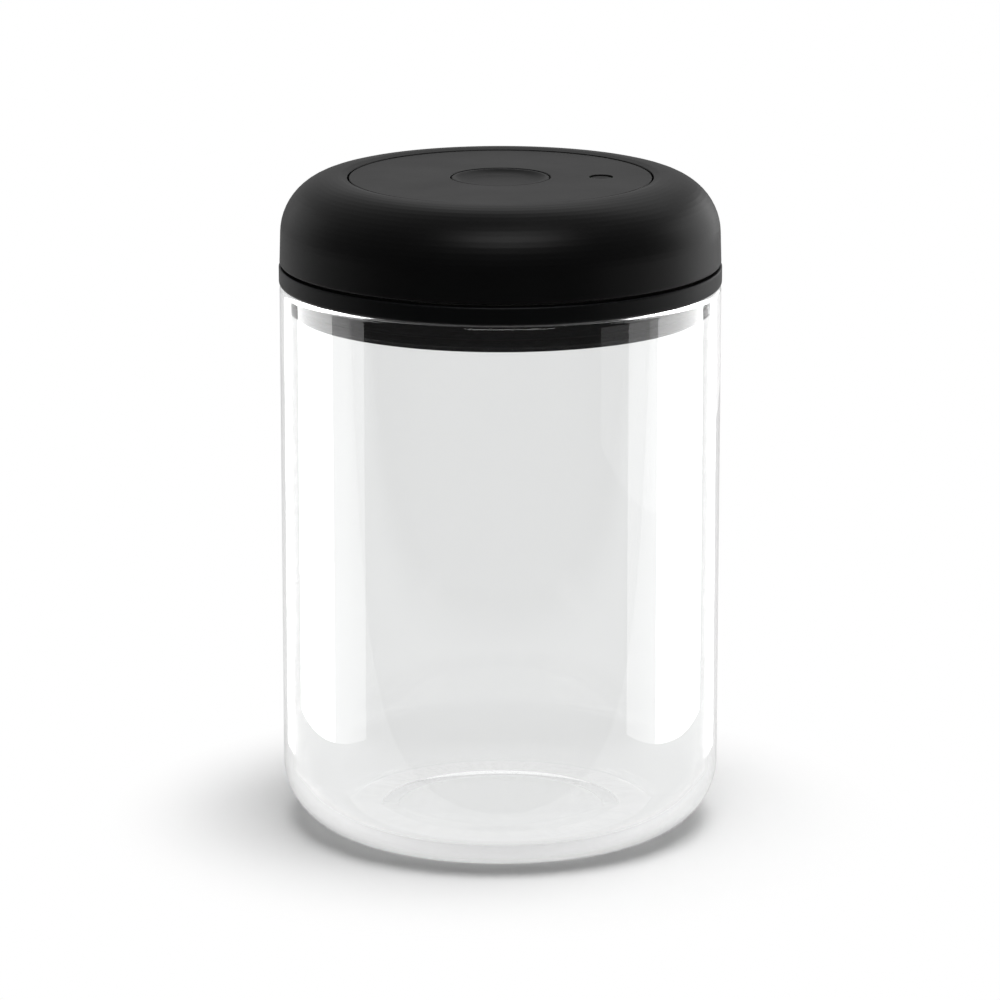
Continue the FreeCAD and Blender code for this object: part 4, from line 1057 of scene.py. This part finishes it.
def kept_white(tree, path, behind, edge):
    """Share of the white that is kept: all of it, but none ahead of an edge for light turned in the glass."""
    turned = math_node(tree, "MINIMUM", path.outputs["Glossy Depth"], 1.0)
    ahead = map_range(tree, behind, *edge, 1.0, 0.0)
    return math_node(tree, "SUBTRACT", 1.0, math_node(tree, "MULTIPLY", turned, ahead))


def floor_material(stage):
    """Pale floor that takes shadows near the canister, and is plain white further out and through glass.

    To the eye its shade is paler by the floor's gain, which throws no more light on the canister.
    """
    material = bpy.data.materials.new("pale_floor")
    tree = empty_tree(material)
    path = add_node(tree, "ShaderNodeLightPath")
    eye = path.outputs["Is Camera Ray"]
    spot = add_node(tree, "ShaderNodeTexCoord").outputs["Object"]
    behind = add_node(tree, "ShaderNodeSeparateXYZ", {0: spot}).outputs["Y"]
    reach = add_node(tree, "ShaderNodeVectorMath", {0: spot}, operation="LENGTH").outputs["Value"]
    paler = [stage.floor_gain * part for part in stage.floor_colour]
    shade = mix_colour(tree, eye, (*stage.floor_colour, 1.0), (*paler, 1.0))
    diffuse = add_node(tree, "ShaderNodeBsdfDiffuse", {"Color": shade})
    white = add_node(tree, "ShaderNodeEmission", {"Strength": kept_white(tree, path, behind, TABLE_EDGE)})
    far = map_range(tree, reach, *SHADOW_REACH, 0.0, 1.0)
    plain = math_node(tree, "MAXIMUM", math_node(tree, "MULTIPLY", eye, far), through_glass(tree, path))
    surface = mix_shaders(tree, plain, diffuse.outputs[0], white.outputs[0])
    add_node(tree, "ShaderNodeOutputMaterial", {"Surface": surface})
    return material


def studio_world(stage):
    """Room light: dim in front, brighter behind, and plain white for the eye, directly or through glass.

    Light that has turned inside the glass sees the white behind and the dim room in front.
    """
    world = bpy.data.worlds.new("studio")
    tree = empty_tree(world)
    direction = add_node(tree, "ShaderNodeTexCoord").outputs["Generated"]
    behind = add_node(tree, "ShaderNodeSeparateXYZ", {0: direction}).outputs["Y"]
    room = map_range(tree, behind, *ROOM_SLOPE, stage.world_front, stage.world_back)
    path = add_node(tree, "ShaderNodeLightPath")
    kept = kept_white(tree, path, behind, BACKDROP_EDGE)
    glass = math_node(tree, "MULTIPLY", through_glass(tree, path), kept)
    seen = math_node(tree, "MAXIMUM", path.outputs["Is Camera Ray"], glass)
    level = add_node(tree, "ShaderNodeMix", {0: seen, 2: room, 3: 1.0}, data_type="FLOAT").outputs[0]
    white = add_node(tree, "ShaderNodeBackground", {"Color": (1.0, 1.0, 1.0, 1.0), "Strength": level})
    add_node(tree, "ShaderNodeOutputWorld", {"Surface": white.outputs[0]})
    return world


def softbox(name, brightness, place, aim, width, tall):
    """An area lamp of a given brightness per area, at a place and turned to an aim."""
    lamp = bpy.data.lights.new(name, "AREA")
    lamp.shape = "RECTANGLE"
    lamp.size = width
    lamp.size_y = tall
    lamp.energy = brightness * np.pi * width * tall
    holder = placed(name, lamp)
    holder.location = place
    holder.rotation_euler = (Vector(aim) - Vector(place)).to_track_quat("-Z", "Y").to_euler()
    holder.visible_camera = False
    holder.visible_transmission = False
    return holder


class CANISTER_OT_stage(Operator):
    """Stage: pale floor, white room, softboxes and the camera"""

    bl_idname = "canister.stage"
    bl_label = "Stage"

    def execute(self, context):
        scene = context.scene
        stage = scene.canister_stage
        mesh = bpy.data.meshes.new("studio_floor")
        mesh.from_pydata(FLOOR_CORNERS, [], [(0, 1, 2, 3)])
        mesh.materials.append(floor_material(stage))
        floor = placed("studio_floor", mesh)
        scene.world = studio_world(stage)
        for name, box in SOFTBOXES.items():
            lamp = softbox(name + "_softbox", getattr(stage, name + "_light"), *box)
            lamp.visible_glossy = name != "key"
            lamp.visible_diffuse = name == "key"
        for name, (side, start, end) in SIDE_PANELS.items():
            middle = ((start + end) / 2, PANEL_HEIGHT / 2)
            brightness = stage.panel_back if name.endswith("back") else stage.panel_front
            panel = softbox(name, brightness, (side, *middle), (0.0, *middle), end - start, PANEL_HEIGHT)
            panel.light_linking.receiver_collection = glass_only()
        lens = bpy.data.cameras.new("camera")
        lens.sensor_width = SENSOR_WIDTH
        lens.lens = stage.lens
        camera = placed("camera", lens)
        camera.location = (stage.camera_side, -stage.camera_back, stage.camera_height)
        camera.rotation_euler = (np.pi / 2 - stage.camera_pitch, 0.0, 0.0)
        scene.camera = camera
        scene.view_settings.view_transform = "Standard"
        return {"FINISHED"}


SETTINGS = {
    "canister_jar": JarSettings,
    "canister_lid": LidSettings,
    "canister_top": TopSettings,
    "canister_stage": StageSettings,
}
OPERATORS = (
    CANISTER_OT_stage,
    CANISTER_OT_inner_parts,
    CANISTER_OT_jar,
    CANISTER_OT_rim,
    CANISTER_OT_seal,
    CANISTER_OT_grip,
    CANISTER_OT_plate,
    CANISTER_OT_button,
    CANISTER_OT_indicator,
    CANISTER_OT_springs,
)


class CANISTER_PT_panel(Panel):
    """Lists the canister's pieces and settings in the 3D view's sidebar"""

    bl_idname = "CANISTER_PT_panel"
    bl_label = "Vacuum canister"
    bl_space_type = "VIEW_3D"
    bl_region_type = "UI"
    bl_category = "Canister"

    def draw(self, context):
        for operator in OPERATORS:
            self.layout.operator(operator.bl_idname)
        for name, group in SETTINGS.items():
            box = self.layout.box()
            box.label(text=group.__doc__)
            for key in group.__annotations__:
                box.prop(getattr(context.scene, name), key)


def register():
    """Registers the settings, the operators and the panel."""
    for group in (*SETTINGS.values(), *OPERATORS, CANISTER_PT_panel):
        bpy.utils.register_class(group)
    for name, group in SETTINGS.items():
        setattr(bpy.types.Scene, name, PointerProperty(type=group))


def unregister():
    """Takes them away again, in the opposite order."""
    for name in SETTINGS:
        delattr(bpy.types.Scene, name)
    for group in (CANISTER_PT_panel, *reversed(OPERATORS), *reversed(SETTINGS.values())):
        bpy.utils.unregister_class(group)


def main():
    """Builds everything in order."""
    register()
    for operator in OPERATORS:
        family, name = operator.bl_idname.split(".")
        getattr(getattr(bpy.ops, family), name)()


if __name__ == "__main__":
    main()
